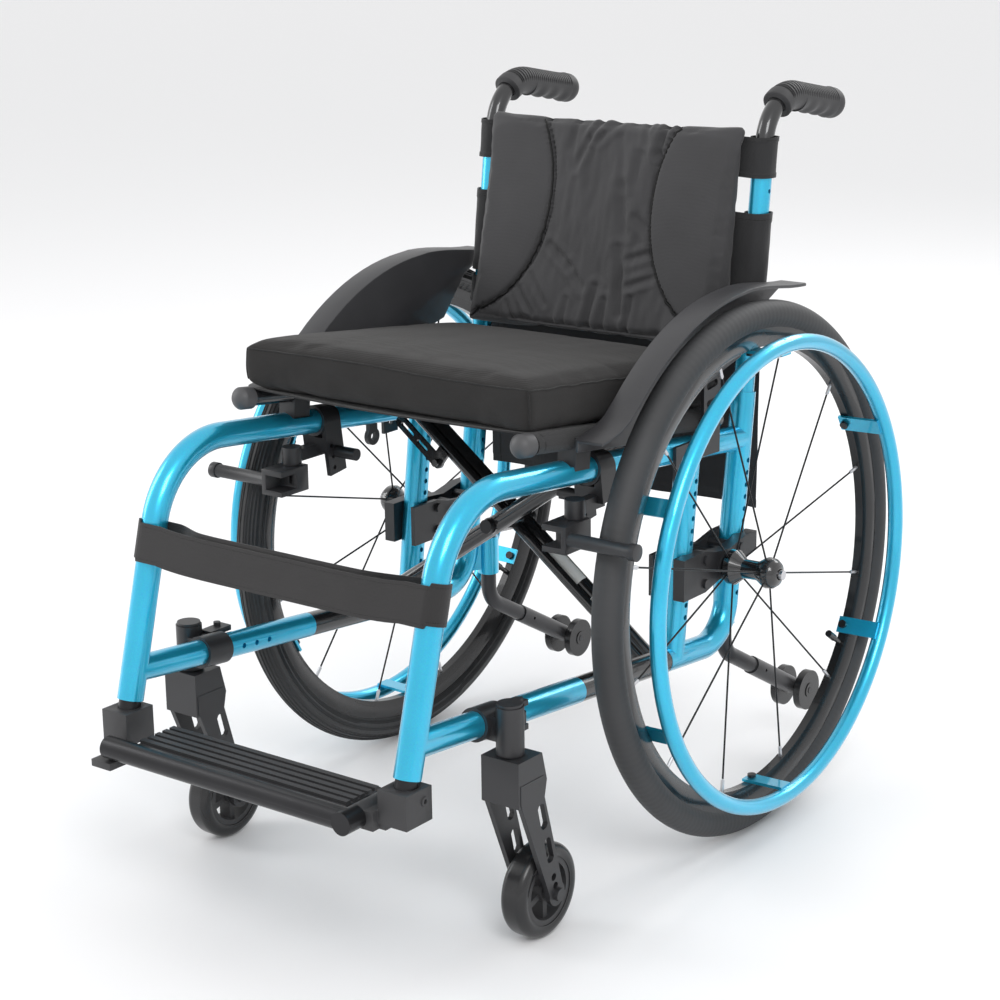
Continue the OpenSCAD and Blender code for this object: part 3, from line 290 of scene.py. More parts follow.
# ---- Rear wheels ----
# Black anodised deep rim, black steel spokes with bright nipples, a turned gloss-black hub, and a black tyre
# whose tread has ribs running round it and short cuts across its shoulders.
axle_y = 0.1485
axle_z = 0.3049
rim_black = finish("black anodised rim", (0.018, 0.018, 0.019), 0.27, metallic=0.5, grain=900, bump=0.05,
                   coat=0.3)
hub_black = finish("turned gloss black hub", (0.012, 0.012, 0.013), 0.18, grain=300, bump=0.04, coat=0.8)
spoke_finish = finish("black spoke with bright nipple", (0.022, 0.022, 0.023), 0.30, metallic=0.8, grain=1500,
                      bump=0.04)
spoke_nodes, spoke_links = spoke_finish.node_tree.nodes, spoke_finish.node_tree.links
from_axle = spoke_nodes.new("ShaderNodeVectorMath")
from_axle.operation = "DISTANCE"
from_axle.inputs[1].default_value = (0, axle_y, axle_z)
flat = spoke_nodes.new("ShaderNodeVectorMath")
flat.operation = "MULTIPLY"
flat.inputs[1].default_value = (0, 1, 1)
nipple_start = spoke_nodes.new("ShaderNodeMath")
nipple_start.operation = "GREATER_THAN"
nipple_start.inputs[1].default_value = 0.2395
nipple = spoke_nodes.new("ShaderNodeMix")
nipple.data_type = "RGBA"
nipple.inputs[7].default_value = (0.62, 0.62, 0.64, 1)
spoke_links.new([n for n in spoke_nodes if n.type == "TEX_COORD"][0].outputs["Object"], flat.inputs[0])
spoke_links.new(flat.outputs["Vector"], from_axle.inputs[0])
spoke_links.new(from_axle.outputs["Value"], nipple_start.inputs[0])
spoke_links.new(nipple_start.outputs["Value"], nipple.inputs[0])
spoke_links.new(spoke_nodes["tint"].outputs["Color"], nipple.inputs[6])
spoke_links.new(nipple.outputs[2], spoke_nodes["Principled BSDF"].inputs["Base Color"])

tyre_rubber = finish("tyre rubber", (0.033, 0.034, 0.036), 0.62, grain=1300, bump=0.2, vary=0.18, patch=9)
tyre_nodes, tyre_links = tyre_rubber.node_tree.nodes, tyre_rubber.node_tree.links
tyre_place = tyre_nodes.new("ShaderNodeVectorMath")
tyre_place.operation = "SUBTRACT"
tyre_place.inputs[1].default_value = (0, axle_y, axle_z)
tyre_xyz = tyre_nodes.new("ShaderNodeSeparateXYZ")
round_angle = tyre_nodes.new("ShaderNodeMath")
round_angle.operation = "ARCTAN2"
cut_count = tyre_nodes.new("ShaderNodeMath")
cut_count.operation = "MULTIPLY"
cut_count.inputs[1].default_value = 220
cut_wave = tyre_nodes.new("ShaderNodeMath")
cut_wave.operation = "SINE"
cut_relief = tyre_nodes.new("ShaderNodeBump")
cut_relief.inputs["Strength"].default_value = 0.08
cut_relief.inputs["Distance"].default_value = 0.0008
tyre_links.new([n for n in tyre_nodes if n.type == "TEX_COORD"][0].outputs["Object"], tyre_place.inputs[0])
tyre_links.new(tyre_place.outputs["Vector"], tyre_xyz.inputs["Vector"])
tyre_links.new(tyre_xyz.outputs["Z"], round_angle.inputs[0])
tyre_links.new(tyre_xyz.outputs["Y"], round_angle.inputs[1])
tyre_links.new(round_angle.outputs["Value"], cut_count.inputs[0])
tyre_links.new(cut_count.outputs["Value"], cut_wave.inputs[0])
tyre_links.new(cut_wave.outputs["Value"], cut_relief.inputs["Height"])
tyre_links.new(tyre_nodes["relief"].outputs["Normal"], cut_relief.inputs["Normal"])
tyre_links.new(cut_relief.outputs["Normal"], tyre_nodes["Principled BSDF"].inputs["Normal"])

for side, turn in (("left", 1), ("right", -1)):
    clean_copy(side + "_rim", rim_black)
    clean_copy(side + "_spokes", spoke_finish)
    clean_copy(side + "_hub", hub_black)
    bpy.ops.object.select_all(action="DESELECT")
    bpy.ops.mesh.primitive_torus_add(major_radius=0.288, minor_radius=0.0168, major_segments=168,
                                     minor_segments=48)
    tyre = bpy.context.object
    tyre.name = side + "_ribbed_tyre"
    for face in tyre.data.polygons:
        reach = math.hypot(face.center.x, face.center.y)
        band = abs(face.center.z)
        grooves = (0.0021, 0.0064, 0.0104, 0.0128)
        face.select = reach > 0.2935 and any(low < band < low + 0.0021 for low in grooves)
    bpy.ops.object.mode_set(mode="EDIT")
    bpy.ops.mesh.select_mode(type="FACE")
    bpy.ops.mesh.extrude_region_shrink_fatten(TRANSFORM_OT_shrink_fatten={"value": -0.0009})
    bpy.ops.object.mode_set(mode="OBJECT")
    tyre.rotation_euler = (0, turn * math.radians(88.7), 0)
    tyre.location = (turn * 0.249, axle_y, 0.304926)
    bpy.ops.object.transform_apply(location=True, rotation=True, scale=True)
    bpy.ops.object.shade_smooth_by_angle(angle=math.radians(35))
    tyre.data.materials.append(tyre_rubber)
    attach(tyre, side + "_wheel")
    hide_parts(side + "_tyre")


# ---- Push handle grips ----
# Soft black rubber sleeves pushed over the bent handles, with fine ribs across the top,
# four finger scallops below and a swollen end.
grip_rubber = finish("grip rubber", (0.031, 0.031, 0.033), 0.55, grain=1500, bump=0.15, vary=0.1)


lean = math.radians(7.5)
fall = math.radians(10)
corner_z = 0.826
handle_up = Vector((0, math.sin(lean), math.cos(lean)))
handle_back = Vector((0, math.cos(fall), -math.sin(fall)))
handle_corner = Vector((0, axle_y + 0.051 + (corner_z - axle_z) * math.tan(lean), corner_z))
bend_radius = 0.055
bend_angle = handle_up.angle(handle_back)
bend_reach = bend_radius * math.tan(bend_angle / 2)
bend_inward = (handle_back - handle_up * handle_up.dot(handle_back)).normalized()
bend_centre = handle_corner - handle_up * bend_reach + bend_inward * bend_radius
covered_bend = bend_radius * bend_angle * 0.45
grip_end = 0.1615 - bend_reach
end_radius = 0.0180
rib_pitch, rib_height = 0.0042, 0.0014
for side, turn in (("left", 1), ("right", -1)):
    def grip_point(u, v):
        step = u * (covered_bend + grip_end)
        lead = step - covered_bend
        if lead < 0:
            swing = bend_angle + lead / bend_radius
            middle = (bend_centre - bend_inward * bend_radius * math.cos(swing)
                      + handle_up * bend_radius * math.sin(swing))
            forward = handle_up * math.cos(swing) + bend_inward * math.sin(swing)
        else:
            middle, forward = handle_corner + handle_back * (bend_reach + lead), handle_back
        over = Vector((1, 0, 0)).cross(forward).normalized()
        over = over if over.dot(Vector((0, -1, 1))) > 0 else -over
        top, sideways = math.cos(2 * math.pi * v), math.sin(2 * math.pi * v)
        share = max(0.0, lead) / grip_end
        radius = 0.0176 if step < 0.011 else 0.0158
        radius += 0.0026 * math.exp(-((share - 0.88) / 0.13) ** 2)
        ribbed = step > 0.014 and lead < grip_end - 0.024
        if ribbed and top > 0.1:
            crest = 1 if math.sin(step * 2 * math.pi / rib_pitch) > 0 else -0.2
            radius += rib_height * crest * min(1, (top - 0.1) * 5)
        if ribbed and lead > 0.004:
            scallop = 0.5 - 0.5 * math.cos(2 * math.pi * (lead - 0.004) / 0.024)
            radius += (0.0018 - 0.0028 * scallop) * max(0.0, -top)
        left_over = grip_end - lead
        if left_over < end_radius:
            radius *= math.sqrt(max(0.0, 1 - (1 - left_over / end_radius) ** 2))
        elif step < 0.0015:
            radius = 0.0110 + (radius - 0.0110) * step / 0.0015
        return (Vector((turn * frame_x, 0, 0)) + middle + over * radius * top
                + Vector((1, 0, 0)) * radius * sideways)

    grip = skin(side + "_ribbed_grip", 400, 64, grip_point, closed=True)
    grip.data.materials.append(grip_rubber)
    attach(grip, side + "_frame")
    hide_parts(side + "_push_grip")


# ---- Side guards ----
# One-piece black moulded wings bolted to the frame, with a broad rolled flange that follows the wheel.
guard_plastic = finish("guard plastic", (0.033, 0.033, 0.036), 0.42, grain=1400, bump=0.16, vary=0.1)
for side in ("left", "right"):
    clean_copy(side + "_side_guard", guard_plastic, edge=0.0015)


# ---- Seat sling ----
# A doubled black nylon sheet whose hems are threaded over both seat rails, so that it hangs between them.
def cloth(name, colour, pitch=0.0011, rough=0.85, strength=0.35, sheen=0.15, vary=0.10, patch=16.0):
    """A woven finish: threads along the three axes under a slightly uneven dye."""
    made = finish(name, colour, rough, grain=1800, bump=0.15, vary=vary, patch=patch)
    nodes, links = made.node_tree.nodes, made.node_tree.links
    nodes["Principled BSDF"].inputs["Sheen Weight"].default_value = sheen
    nodes["Principled BSDF"].inputs["Sheen Roughness"].default_value = 0.5
    nodes["Principled BSDF"].inputs["Specular IOR Level"].default_value = 0.25
    place = [n for n in nodes if n.type == "TEX_COORD"][0]
    threads = None
    for direction in ("X", "Y", "Z"):
        wave = nodes.new("ShaderNodeTexWave")
        wave.bands_direction = direction
        wave.inputs["Scale"].default_value = 0.314 / pitch
        wave.inputs["Distortion"].default_value = 0.6
        wave.inputs["Detail"].default_value = 1
        links.new(place.outputs["Object"], wave.inputs["Vector"])
        if threads is None:
            threads = wave.outputs["Fac"]
        else:
            mix = nodes.new("ShaderNodeMath")
            mix.operation = "MULTIPLY" if direction == "Z" else "ADD"
            links.new(threads, mix.inputs[0])
            links.new(wave.outputs["Fac"], mix.inputs[1])
            threads = mix.outputs["Value"]
    weave = nodes.new("ShaderNodeBump")
    weave.name = "weave"
    weave.inputs["Strength"].default_value = strength
    weave.inputs["Distance"].default_value = 0.0004
    links.new(threads, weave.inputs["Height"])
    links.new(nodes["relief"].outputs["Normal"], weave.inputs["Normal"])
    links.new(weave.outputs["Normal"], nodes["Principled BSDF"].inputs["Normal"])
    return made


def stitched(made, rows, dash=240.0, along="X", across="Y"):
    """Rows of dark thread pressed into the cloth, along the piece's own unwrap."""
    nodes, links = made.node_tree.nodes, made.node_tree.links
    unwrap = nodes.new("ShaderNodeUVMap")
    parts = nodes.new("ShaderNodeSeparateXYZ")
    links.new(unwrap.outputs["UV"], parts.inputs["Vector"])
    steps = nodes.new("ShaderNodeMath")
    steps.operation = "MULTIPLY"
    steps.inputs[1].default_value = dash * 2 * math.pi
    beat = nodes.new("ShaderNodeMath")
    beat.operation = "SINE"
    links.new(parts.outputs[along], steps.inputs[0])
    links.new(steps.outputs["Value"], beat.inputs[0])
    on = nodes.new("ShaderNodeMath")
    on.operation = "GREATER_THAN"
    on.inputs[1].default_value = -0.4
    links.new(beat.outputs["Value"], on.inputs[0])
    lines = None
    for row, width in rows:
        off = nodes.new("ShaderNodeMath")
        off.operation = "COMPARE"
        off.inputs[1].default_value = row
        off.inputs[2].default_value = width
        links.new(parts.outputs[across], off.inputs[0])
        if lines is None:
            lines = off.outputs["Value"]
        else:
            both = nodes.new("ShaderNodeMath")
            both.operation = "ADD"
            both.use_clamp = True
            links.new(lines, both.inputs[0])
            links.new(off.outputs["Value"], both.inputs[1])
            lines = both.outputs["Value"]
    thread = nodes.new("ShaderNodeMath")
    thread.operation = "MULTIPLY"
    links.new(lines, thread.inputs[0])
    links.new(on.outputs["Value"], thread.inputs[1])
    darker = nodes.new("ShaderNodeMix")
    darker.data_type = "RGBA"
    darker.inputs[7].default_value = (0.004, 0.004, 0.004, 1)
    links.new(thread.outputs["Value"], darker.inputs[0])
    links.new(nodes["tint"].outputs["Color"], darker.inputs[6])
    links.new(darker.outputs[2], nodes["Principled BSDF"].inputs["Base Color"])
    press = nodes.new("ShaderNodeBump")
    press.invert = True
    press.inputs["Strength"].default_value = 0.8
    press.inputs["Distance"].default_value = 0.0008
    links.new(lines, press.inputs["Height"])
    links.new(nodes["weave"].outputs["Normal"], press.inputs["Normal"])
    links.new(press.outputs["Normal"], nodes["Principled BSDF"].inputs["Normal"])
    return made


def thicken(piece, thickness):
    """Gives a skin its cloth's thickness, with no smoothing left to do."""
    bpy.context.view_layer.objects.active = piece
    wall = piece.modifiers.new("wall", "SOLIDIFY")
    wall.thickness = thickness
    wall.offset = 0
    bpy.ops.object.modifier_apply(modifier="wall")
    bpy.ops.object.shade_smooth_by_angle(angle=math.radians(50))


seat_fall = math.tan(math.radians(7))
sling_cloth = stitched(cloth("seat sling webbing", (0.020, 0.020, 0.021), pitch=0.0014),
                       [(0.03, 0.004), (0.97, 0.004)], dash=90)


def sling_point(u, v):
    y = -0.338 + 0.344 * v
    rail = 0.515 - (y + 0.356) * seat_fall
    side_run = abs(u - 0.5) * 2
    if side_run > 0.955:
        turn_angle = (side_run - 0.955) / 0.045 * math.radians(150)
        x, z = 0.190 + 0.0106 * math.sin(turn_angle), rail + 0.0106 * math.cos(turn_angle)
    else:
        x = 0.190 * side_run / 0.955
        z = rail + 0.0106 - 0.004 * (1 - (x / 0.190) ** 2)
    return Vector((x if u > 0.5 else -x, y + axle_y, z))


sling = skin("seat_sling_sheet", 240, 60, sling_point)
thicken(sling, 0.0016)
sling.data.materials.append(sling_cloth)
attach(sling, "seat_deck")
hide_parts("seat_sling")


# ---- Seat cushion ----
# A cut foam block in a sewn cover of black woven cloth, with a seam round its top edge and down each corner.
cushion_cloth = cloth("cushion cloth", (0.0165, 0.0155, 0.0152), pitch=0.0012, sheen=0.08, vary=0.16,
                      patch=20)


def puff(piece, voxel, pressure, cap):
    """Blows the sewn cover out against its foam by cloth simulation, each point at most by the cap."""
    bpy.ops.object.select_all(action="DESELECT")
    bpy.context.view_layer.objects.active = piece
    piece.select_set(True)
    remesh = piece.modifiers.new("remesh", "REMESH")
    remesh.mode = "VOXEL"
    remesh.voxel_size = voxel
    bpy.ops.object.modifier_apply(modifier="remesh")
    start = [vertex.co.copy() for vertex in piece.data.vertices]
    fill = piece.modifiers.new("fill", "CLOTH")
    fill.settings.use_pressure = True
    fill.settings.uniform_pressure_force = pressure
    fill.settings.effector_weights.gravity = 0
    fill.settings.tension_stiffness = 12
    fill.settings.compression_stiffness = 12
    for moment in range(1, 21):
        bpy.context.scene.frame_set(moment)
    blown = piece.evaluated_get(bpy.context.evaluated_depsgraph_get()).data
    moved = [vertex.co.copy() for vertex in blown.vertices]
    piece.modifiers.clear()
    for vertex, old, new in zip(piece.data.vertices, start, moved):
        step = new - old
        vertex.co = old + step * min(1, cap / step.length) if step.length > 1e-9 else old
    bpy.context.scene.frame_set(1)
    finer = piece.modifiers.new("finer", "SUBSURF")
    finer.levels = finer.render_levels = 1
    bpy.ops.object.modifier_apply(modifier="finer")
    for polygon in piece.data.polygons:
        polygon.use_smooth = True
    return piece


bpy.ops.object.select_all(action="DESELECT")
bpy.ops.mesh.primitive_cube_add(size=2)
cushion = bpy.context.object
cushion.name = "sewn_seat_cushion"
for vertex in cushion.data.vertices:
    front, top = vertex.co.y < 0, vertex.co.z > 0
    y = -0.347 if front else (0.028 if top else 0.031)
    z = {(True, False): 0.5305, (True, True): 0.5735, (False, False): 0.4850, (False, True): 0.5320}[(front, top)]
    vertex.co = Vector((vertex.co.x * 0.1985, y + axle_y, z))
bpy.ops.object.mode_set(mode="EDIT")
bpy.ops.mesh.select_all(action="SELECT")
bpy.ops.mesh.bevel(offset=0.005, segments=3, affect="EDGES")
bpy.ops.object.mode_set(mode="OBJECT")
puff(cushion, 0.005, 4, 0.006)


def cushion_top(y):
    return 0.5775 - (y - axle_y + 0.352) * (0.5775 - 0.5362) / 0.382


for vertex in cushion.data.vertices:
    across_seat = vertex.co.x / 0.202
    deep = (vertex.co.y - axle_y + 0.352) / 0.386
    top_side = vertex.co.z > cushion_top(vertex.co.y) - 0.018
    if top_side:
        crown = 0.0075 * max(0, 1 - across_seat ** 4) * max(0, 1 - (2 * deep - 1) ** 4)
        hollow = 0.0028 * math.exp(-((across_seat - 0.35) / 0.35) ** 2 - (deep / 0.25) ** 2)
        ripple = noise.noise(Vector((vertex.co.x * 9, vertex.co.y * 34, 4.0)))
        wrinkle = 0.0009 * ripple * max(0, across_seat) ** 0.5
        wrinkle += 0.0007 * noise.noise(Vector((vertex.co.x * 30, vertex.co.y * 12, 8.0)))
        vertex.co.z += crown - hollow + wrinkle
    side_wrinkle = 0.0008 * noise.noise(Vector((vertex.co.x * 22, vertex.co.y * 22, vertex.co.z * 60)))
    vertex.co.x += side_wrinkle * (1 if vertex.co.x > 0 else -1)
    if deep < 0.05:
        vertex.co.y += 0.0011 * noise.noise(Vector((vertex.co.x * 26, 3.0, vertex.co.z * 50)))
cushion.data.materials.append(cushion_cloth)
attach(cushion, "seat_deck")
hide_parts("seat_cushion")

# The cover's seams: a thin twisted cord laid into the cloth along the top edge and down the two front
# corners.
seam_thread = cloth("seam thread", (0.010, 0.010, 0.010), pitch=0.0007, rough=0.8)


def seam(name, points, radius, target, body, lift=0.0003, finish_used=None):
    """A fine cord along the points, drawn onto the piece's surface."""
    route = bpy.data.curves.new(name, "CURVE")
    route.dimensions = "3D"
    route.bevel_depth = radius
    route.bevel_resolution = 2
    line = route.splines.new("POLY")
    line.points.add(len(points) - 1)
    for spot, point in zip(line.points, points):
        found, near, facing, _ = target.closest_point_on_mesh(Vector(point))
        spot.co = (*(near + facing * lift), 1)
    cord_piece = bpy.data.objects.new(name, route)
    bpy.context.scene.collection.objects.link(cord_piece)
    bpy.ops.object.select_all(action="DESELECT")
    cord_piece.select_set(True)
    bpy.context.view_layer.objects.active = cord_piece
    bpy.ops.object.convert(target="MESH")
    cord_piece = bpy.context.object
    cord_piece.data.materials.append(finish_used or seam_thread)
    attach(cord_piece, body)
    return cord_piece


edge_x, edge_front, edge_rear = 0.2015, -0.3515, 0.030
top_loop = [(-edge_x, edge_rear - (edge_rear - edge_front) * i / 60) for i in range(61)]
top_loop += [(-edge_x + 2 * edge_x * i / 60, edge_front) for i in range(61)]
top_loop += [(edge_x, edge_front + (edge_rear - edge_front) * i / 60) for i in range(61)]
cushion_seams = [seam("cushion_top_seam", [(x, y + axle_y, cushion_top(y + axle_y) - 0.003) for x, y in top_loop], 0.0008,
                      cushion, "seat_deck")]
for turn in (1, -1):
    corner_line = [(turn * edge_x, edge_front + axle_y, 0.530 + 0.044 * i / 16) for i in range(17)]
    corner = "left" if turn > 0 else "right"
    cushion_seams.append(seam("cushion_corner_seam_" + corner, corner_line, 0.0008, cushion, "seat_deck"))


# ---- Back upholstery ----
# A padded back of dark grey nylon: two firm side lobes behind piped seams, a gathered middle, and its top
# folded over.
back_cloth = cloth("back cloth", (0.044, 0.0437, 0.0460), pitch=0.0010, rough=0.72, strength=0.25, sheen=0.12,
                   patch=12)
back_lean = math.tan(math.radians(7.5))
back_foot, back_head = 0.540, 0.790
lobe_line = [(0.100, 0.800), (0.076, 0.744), (0.070, 0.696), (0.077, 0.646), (0.098, 0.603), (0.132, 0.570),
             (0.176, 0.549)]


def post_line(z):
    return axle_y + 0.051 + (z - axle_z) * back_lean


def front_depth(z):
    """How far the pad's front stands ahead of the posts, thin at the head and full at the foot."""
    return 0.024 + 0.027 * (back_head - z) / (back_head - back_foot)


def smooth_line(corners, count):
    """Points along a smooth line through the corners."""
    padded_corners = [corners[0]] + corners + [corners[-1]]
    found = []
    for k in range(len(corners) - 1):
        a, b, c, d = (Vector(p) for p in padded_corners[k:k + 4])
        for i in range(count):
            t = i / count
            found.append(0.5 * ((2 * b) + (c - a) * t + (2 * a - 5 * b + 4 * c - d) * t * t
                                + (3 * b - a - 3 * c + d) * t ** 3))
    return found + [Vector(corners[-1])]


bpy.ops.object.select_all(action="DESELECT")
bpy.ops.mesh.primitive_cube_add(size=2)
back = bpy.context.object
back.name = "padded_back"
for vertex in back.data.vertices:
    front, top = vertex.co.y < 0, vertex.co.z > 0
    z = back_head if top else back_foot
    depth = front_depth(z) if front else 0.0165
    vertex.co = Vector((vertex.co.x * 0.178, post_line(z) - depth, z))
bpy.ops.object.mode_set(mode="EDIT")
bpy.ops.mesh.select_all(action="SELECT")
bpy.ops.mesh.bevel(offset=0.0033, segments=3, affect="EDGES")
bpy.ops.object.mode_set(mode="OBJECT")
puff(back, 0.0042, 3, 0.006)

lobe_curve = smooth_line([(x, z) for x, z in lobe_line], 10)
folds = [((-0.009, 0.794), (-0.025, 0.764), 0.0032, 0.0040),
         ((-0.025, 0.764), (-0.041, 0.730), 0.0026, 0.0045),
         ((0.020, 0.793), (-0.014, 0.762), 0.0026, 0.0045), ((0.079, 0.797), (0.071, 0.752), 0.0045, 0.0045),
         ((0.071, 0.752), (0.084, 0.727), 0.0035, 0.0050), ((0.019, 0.767), (0.029, 0.714), 0.0024, 0.0060),
         ((0.029, 0.714), (0.037, 0.660), 0.0030, 0.0070), ((0.036, 0.645), (0.046, 0.571), 0.0042, 0.0055),
         ((0.052, 0.680), (0.072, 0.663), 0.0028, 0.0050), ((0.081, 0.643), (0.049, 0.632), 0.0030, 0.0045),
         ((-0.063, 0.640), (-0.031, 0.618), 0.0036, 0.0050),
         ((-0.031, 0.618), (-0.010, 0.596), 0.0030, 0.0050),
         ((-0.101, 0.587), (-0.079, 0.558), 0.0034, 0.0040),
         ((-0.117, 0.570), (-0.107, 0.549), 0.0026, 0.0036),
         ((-0.086, 0.604), (-0.060, 0.572), 0.0022, 0.0040),
         ((0.008, 0.598), (-0.001, 0.541), 0.0040, 0.0048),
         ((0.024, 0.584), (0.021, 0.541), 0.0036, 0.0042), ((0.052, 0.602), (0.084, 0.614), 0.0028, 0.0042),
         ((0.060, 0.590), (0.056, 0.545), 0.0030, 0.0040), ((-0.030, 0.580), (-0.036, 0.545), 0.0026, 0.0040),
         ((0.046, 0.751), (0.043, 0.703), 0.0020, 0.0060), ((-0.045, 0.792), (-0.052, 0.752), 0.0022, 0.0050),
         ((0.050, 0.794), (0.052, 0.764), 0.0026, 0.0045), ((0.100, 0.795), (0.090, 0.768), 0.0024, 0.0045)]


def stray(x, z, a, b):
    """How far a point is from a fold, and how far along it."""
    run = Vector((b[0] - a[0], b[1] - a[1]))
    t = max(0, min(1, ((x - a[0]) * run.x + (z - a[1]) * run.y) / run.length_squared))
    return math.hypot(x - a[0] - run.x * t, z - a[1] - run.y * t), t


for vertex in back.data.vertices:
    x, y, z = vertex.co
    facing_front = y < post_line(z) - (front_depth(z) + 0.0165) / 2
    over_top = z > 0.780
    if not (facing_front or over_top):
        vertex.co.y = min(vertex.co.y, post_line(z) - 0.0155)
        continue
    nearest = min((math.hypot(abs(x) - p.x, z - p.y), p.x) for p in lobe_curve)
    inside = abs(x) < nearest[1] and z > 0.549
    push = 0.0042 * math.exp(-(nearest[0] / 0.0030) ** 2)
    if inside:
        push += 0.0025 * math.exp(-nearest[0] / 0.018)
        for a, b, depth, width in folds:
            away, t = stray(x, z, a, b)
            if away < width * 3:
                taper = 0.35 + 0.65 * math.sin(math.pi * min(1, max(0, 0.15 + 0.7 * t)))
                beside = math.exp(-((away - width * 1.7) / width) ** 2)
                push += depth * taper * (math.exp(-(away / width) ** 2) - 0.55 * beside)
        push += (0.0026 * noise.noise(Vector((x * 55, 2.0, z * 16)))
                 + 0.0013 * noise.noise(Vector((x * 120, 5.0, z * 42))))
    else:
        push -= 0.0030 * (1 - math.exp(-nearest[0] / 0.012)) * max(0, 1 - (abs(x) / 0.178) ** 8)
        push += 0.0005 * noise.noise(Vector((x * 30, 9.0, z * 30)))
    edge = max(0, 1 - max(0, abs(x) - 0.166) / 0.012)
    vertex.co.y += push * edge if facing_front else 0
    if over_top:
        vertex.co.z -= push * 0.5 * edge
back.data.materials.append(back_cloth)
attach(back, "left_frame")
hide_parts("back_upholstery")
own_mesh(back)

piping = cloth("back piping", (0.008, 0.008, 0.008), pitch=0.0008, rough=0.55, sheen=0)
for side, turn in (("left", 1), ("right", -1)):
    line = [(turn * p.x, post_line(p.y) - front_depth(p.y) - 0.006, p.y) for p in lobe_curve
            if back_foot + 0.004 < p.y < back_head - 0.002]
    cord_line = seam(side + "_back_piping", line, 0.0013, back, "left_frame", lift=0.0004, finish_used=piping)
    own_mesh(cord_line)

# The sleeves that button round the posts, each a strip of the same cloth with a turned and stitched hem.
sleeve_cloth = stitched(cloth("back sleeve cloth", (0.024, 0.024, 0.0255), pitch=0.0012, rough=0.8),
                        [(0.07, 0.006), (0.93, 0.006)], dash=70, along="X", across="Y")
for side, turn in (("left", 1), ("right", -1)):
    bands = {"upper": (0.731, 0.776), "middle": (0.595, 0.692), "lower": (0.556, 0.588)}
    for band, (low, high) in bands.items():
        def sleeve_point(u, v):
            z = low + (high - low) * v
            angle = math.radians(-100) + u * math.radians(380)
            reach = 0.0150 + 0.0006 * noise.noise(Vector((math.cos(angle) * 2, math.sin(angle) * 2, z * 40)))
            reach += 0.0007 if v < 0.10 or v > 0.90 else 0
            if u < 0.22:
                start = 1 - u / 0.22
                x = frame_x * 1.0 + reach * math.cos(math.radians(-100)) - 0.034 * start
                y = post_line(z) + reach * math.sin(math.radians(-100)) + 0.008 * start
                return Vector((turn * x, y, z))
            angle = math.radians(-100) + (u - 0.22) / 0.78 * math.radians(300)
            round_x = turn * (frame_x + reach * math.cos(angle))
            return Vector((round_x, post_line(z) + reach * math.sin(angle), z))

        sleeve = skin(side + "_" + band + "_sleeve", 90, 40, sleeve_point)
        thicken(sleeve, 0.0014)
        sleeve.data.materials.append(sleeve_cloth)
        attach(sleeve, side + "_frame")


# ---- Back flap ----
# The loose tail of the upholstery, which hangs behind the posts down to the frame.
flap_cloth = stitched(cloth("back flap cloth", (0.022, 0.022, 0.0235), pitch=0.0012, rough=0.8),
                      [(0.03, 0.003), (0.97, 0.003)], dash=130, along="Y", across="X")


def flap_point(u, v):
    z = 0.345 + 0.252 * v
    x = 0.194 * (2 * u - 1)
    hang = axle_y + 0.1050 + 0.0045 * (1 - v) * math.sin(u * 17)
    hang = hang + 0.003 * (1 - v) * noise.noise(Vector((u * 6, v * 3, 1)))
    hang += 0.0008 if v < 0.04 else 0
    return Vector((x, hang, z))


flap = skin("hanging_back_flap", 150, 90, flap_point)
thicken(flap, 0.0016)
flap.data.materials.append(flap_cloth)
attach(flap, "left_frame")
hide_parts("back_flap")
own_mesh(flap)


# ---- Calf strap ----
# A loop of black nylon passed round both front legs, its two runs sewn together in the middle.
strap_cloth = stitched(cloth("calf strap nylon", (0.026, 0.025, 0.0255), pitch=0.0011, rough=0.78),
                       [(0.09, 0.008), (0.91, 0.008)], dash=520, along="X", across="Y")
strap_mid = Vector((0, axle_y - 0.545 + (0.386 - 0.223) * math.tan(math.radians(15.1)), 0.386))
strap_turn = Matrix.Rotation(math.radians(-15.1), 3, "X")
loop = []
for i in range(25):
    angle = math.radians(-90 + 190 * i / 24)
    loop.append((frame_x + 0.0157 * math.cos(angle), 0.0157 * math.sin(angle)))
loop += [(0.160, 0.0125), (0.138, 0.0015), (0.118, -0.0085), (0.095, -0.0125), (0.060, -0.0134), (0, -0.0134)]
loop = [(0, -0.0159), (0.095, -0.0158), (0.150, -0.0157)] + loop
loop = loop + [(-x, y) for x, y in reversed(loop[:-1])]
loop_line = smooth_line(loop, 6)
loop_reach = [0.0]
for before, after in zip(loop_line, loop_line[1:]):
    loop_reach.append(loop_reach[-1] + (after - before).length)


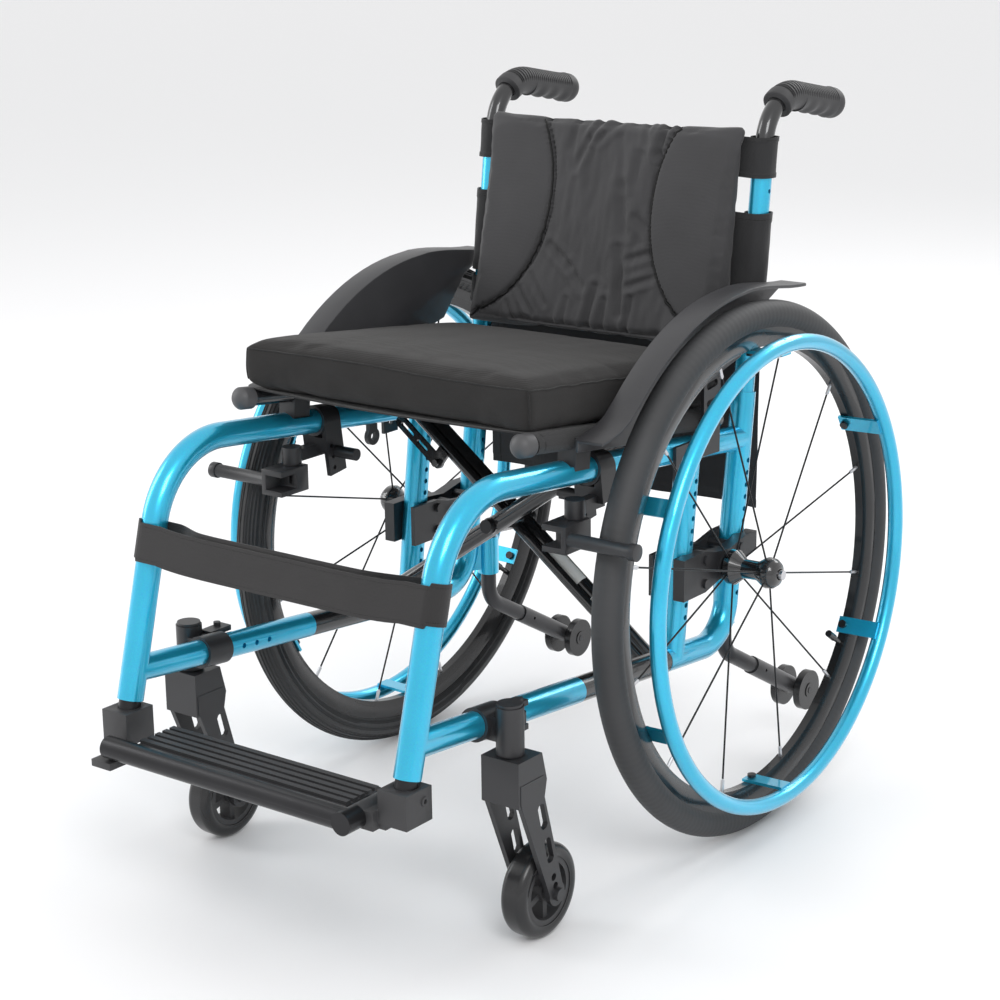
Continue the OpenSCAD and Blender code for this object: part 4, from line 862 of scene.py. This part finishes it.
def strap_point(u, v):
    want = u * loop_reach[-1]
    k = 0
    while k < len(loop_reach) - 2 and loop_reach[k + 1] < want:
        k += 1
    t = (want - loop_reach[k]) / max(1e-9, loop_reach[k + 1] - loop_reach[k])
    spot = loop_line[k].lerp(loop_line[k + 1], t)
    behind = spot.y > -0.0145
    rise = 0.0415 * (v - 0.5) + (0.0035 if behind else 0)
    ripple = 0.0009 * noise.noise(Vector((spot.x * 18, 1.5 if behind else 6.5, v * 2.0)))
    ease = max(0, 1 - (abs(spot.x) / 0.165) ** 6)
    sag = -0.004 * ease * (1 if not behind else 0.6)
    return strap_mid + strap_turn @ Vector((spot.x, spot.y + ripple * ease - 0.0002, rise + sag))


strap = skin("calf_strap_loop", 560, 14, strap_point)
thicken(strap, 0.0018)
strap.data.materials.append(strap_cloth)
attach(strap, "left_frame")
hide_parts("calf_strap")
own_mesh(strap)


# ---- Floor and lights ----
# A pale seamless studio floor with large soft lamps from the left, the right and above.
bpy.ops.object.select_all(action="DESELECT")
bpy.ops.mesh.primitive_plane_add(size=60, location=(0, 0, -0.0005))
floor = bpy.context.object
floor.name = "floor"
floor_paint = bpy.data.materials.new("pale floor")
floor_paint.use_nodes = True
floor_paint.node_tree.nodes["Principled BSDF"].inputs["Base Color"].default_value = (0.86, 0.86, 0.87, 1)
floor_paint.node_tree.nodes["Principled BSDF"].inputs["Roughness"].default_value = 0.55
floor.data.materials.append(floor_paint)
world = bpy.data.worlds.new("studio")
world.use_nodes = True
world.node_tree.nodes["Background"].inputs["Color"].default_value = (1, 1, 1, 1)
world.node_tree.nodes["Background"].inputs["Strength"].default_value = 0.95
bpy.context.scene.world = world
bpy.context.scene.view_settings.view_transform = "Standard"


def lamp(name, place, aim, size, power):
    """A large soft lamp that faces a point."""
    light = bpy.data.objects.new(name, bpy.data.lights.new(name, "AREA"))
    light.data.shape = "RECTANGLE"
    light.data.size, light.data.size_y = size
    light.data.energy = power
    aimed = (Vector(place) - Vector(aim)).to_track_quat("Z", "Y").to_matrix().to_4x4()
    light.matrix_world = Matrix.Translation(place) @ aimed
    bpy.context.scene.collection.objects.link(light)


lamp("key", (2.6, -2.2, 3.0), (0, 0, 0.4), (1.6, 1.6), 60)
lamp("side", (-3.0, -1.4, 1.8), (0, 0, 0.4), (1.2, 2.4), 40)
lamp("back", (0.4, 3.2, 2.6), (0, 0, 0.5), (2.4, 1.2), 45)
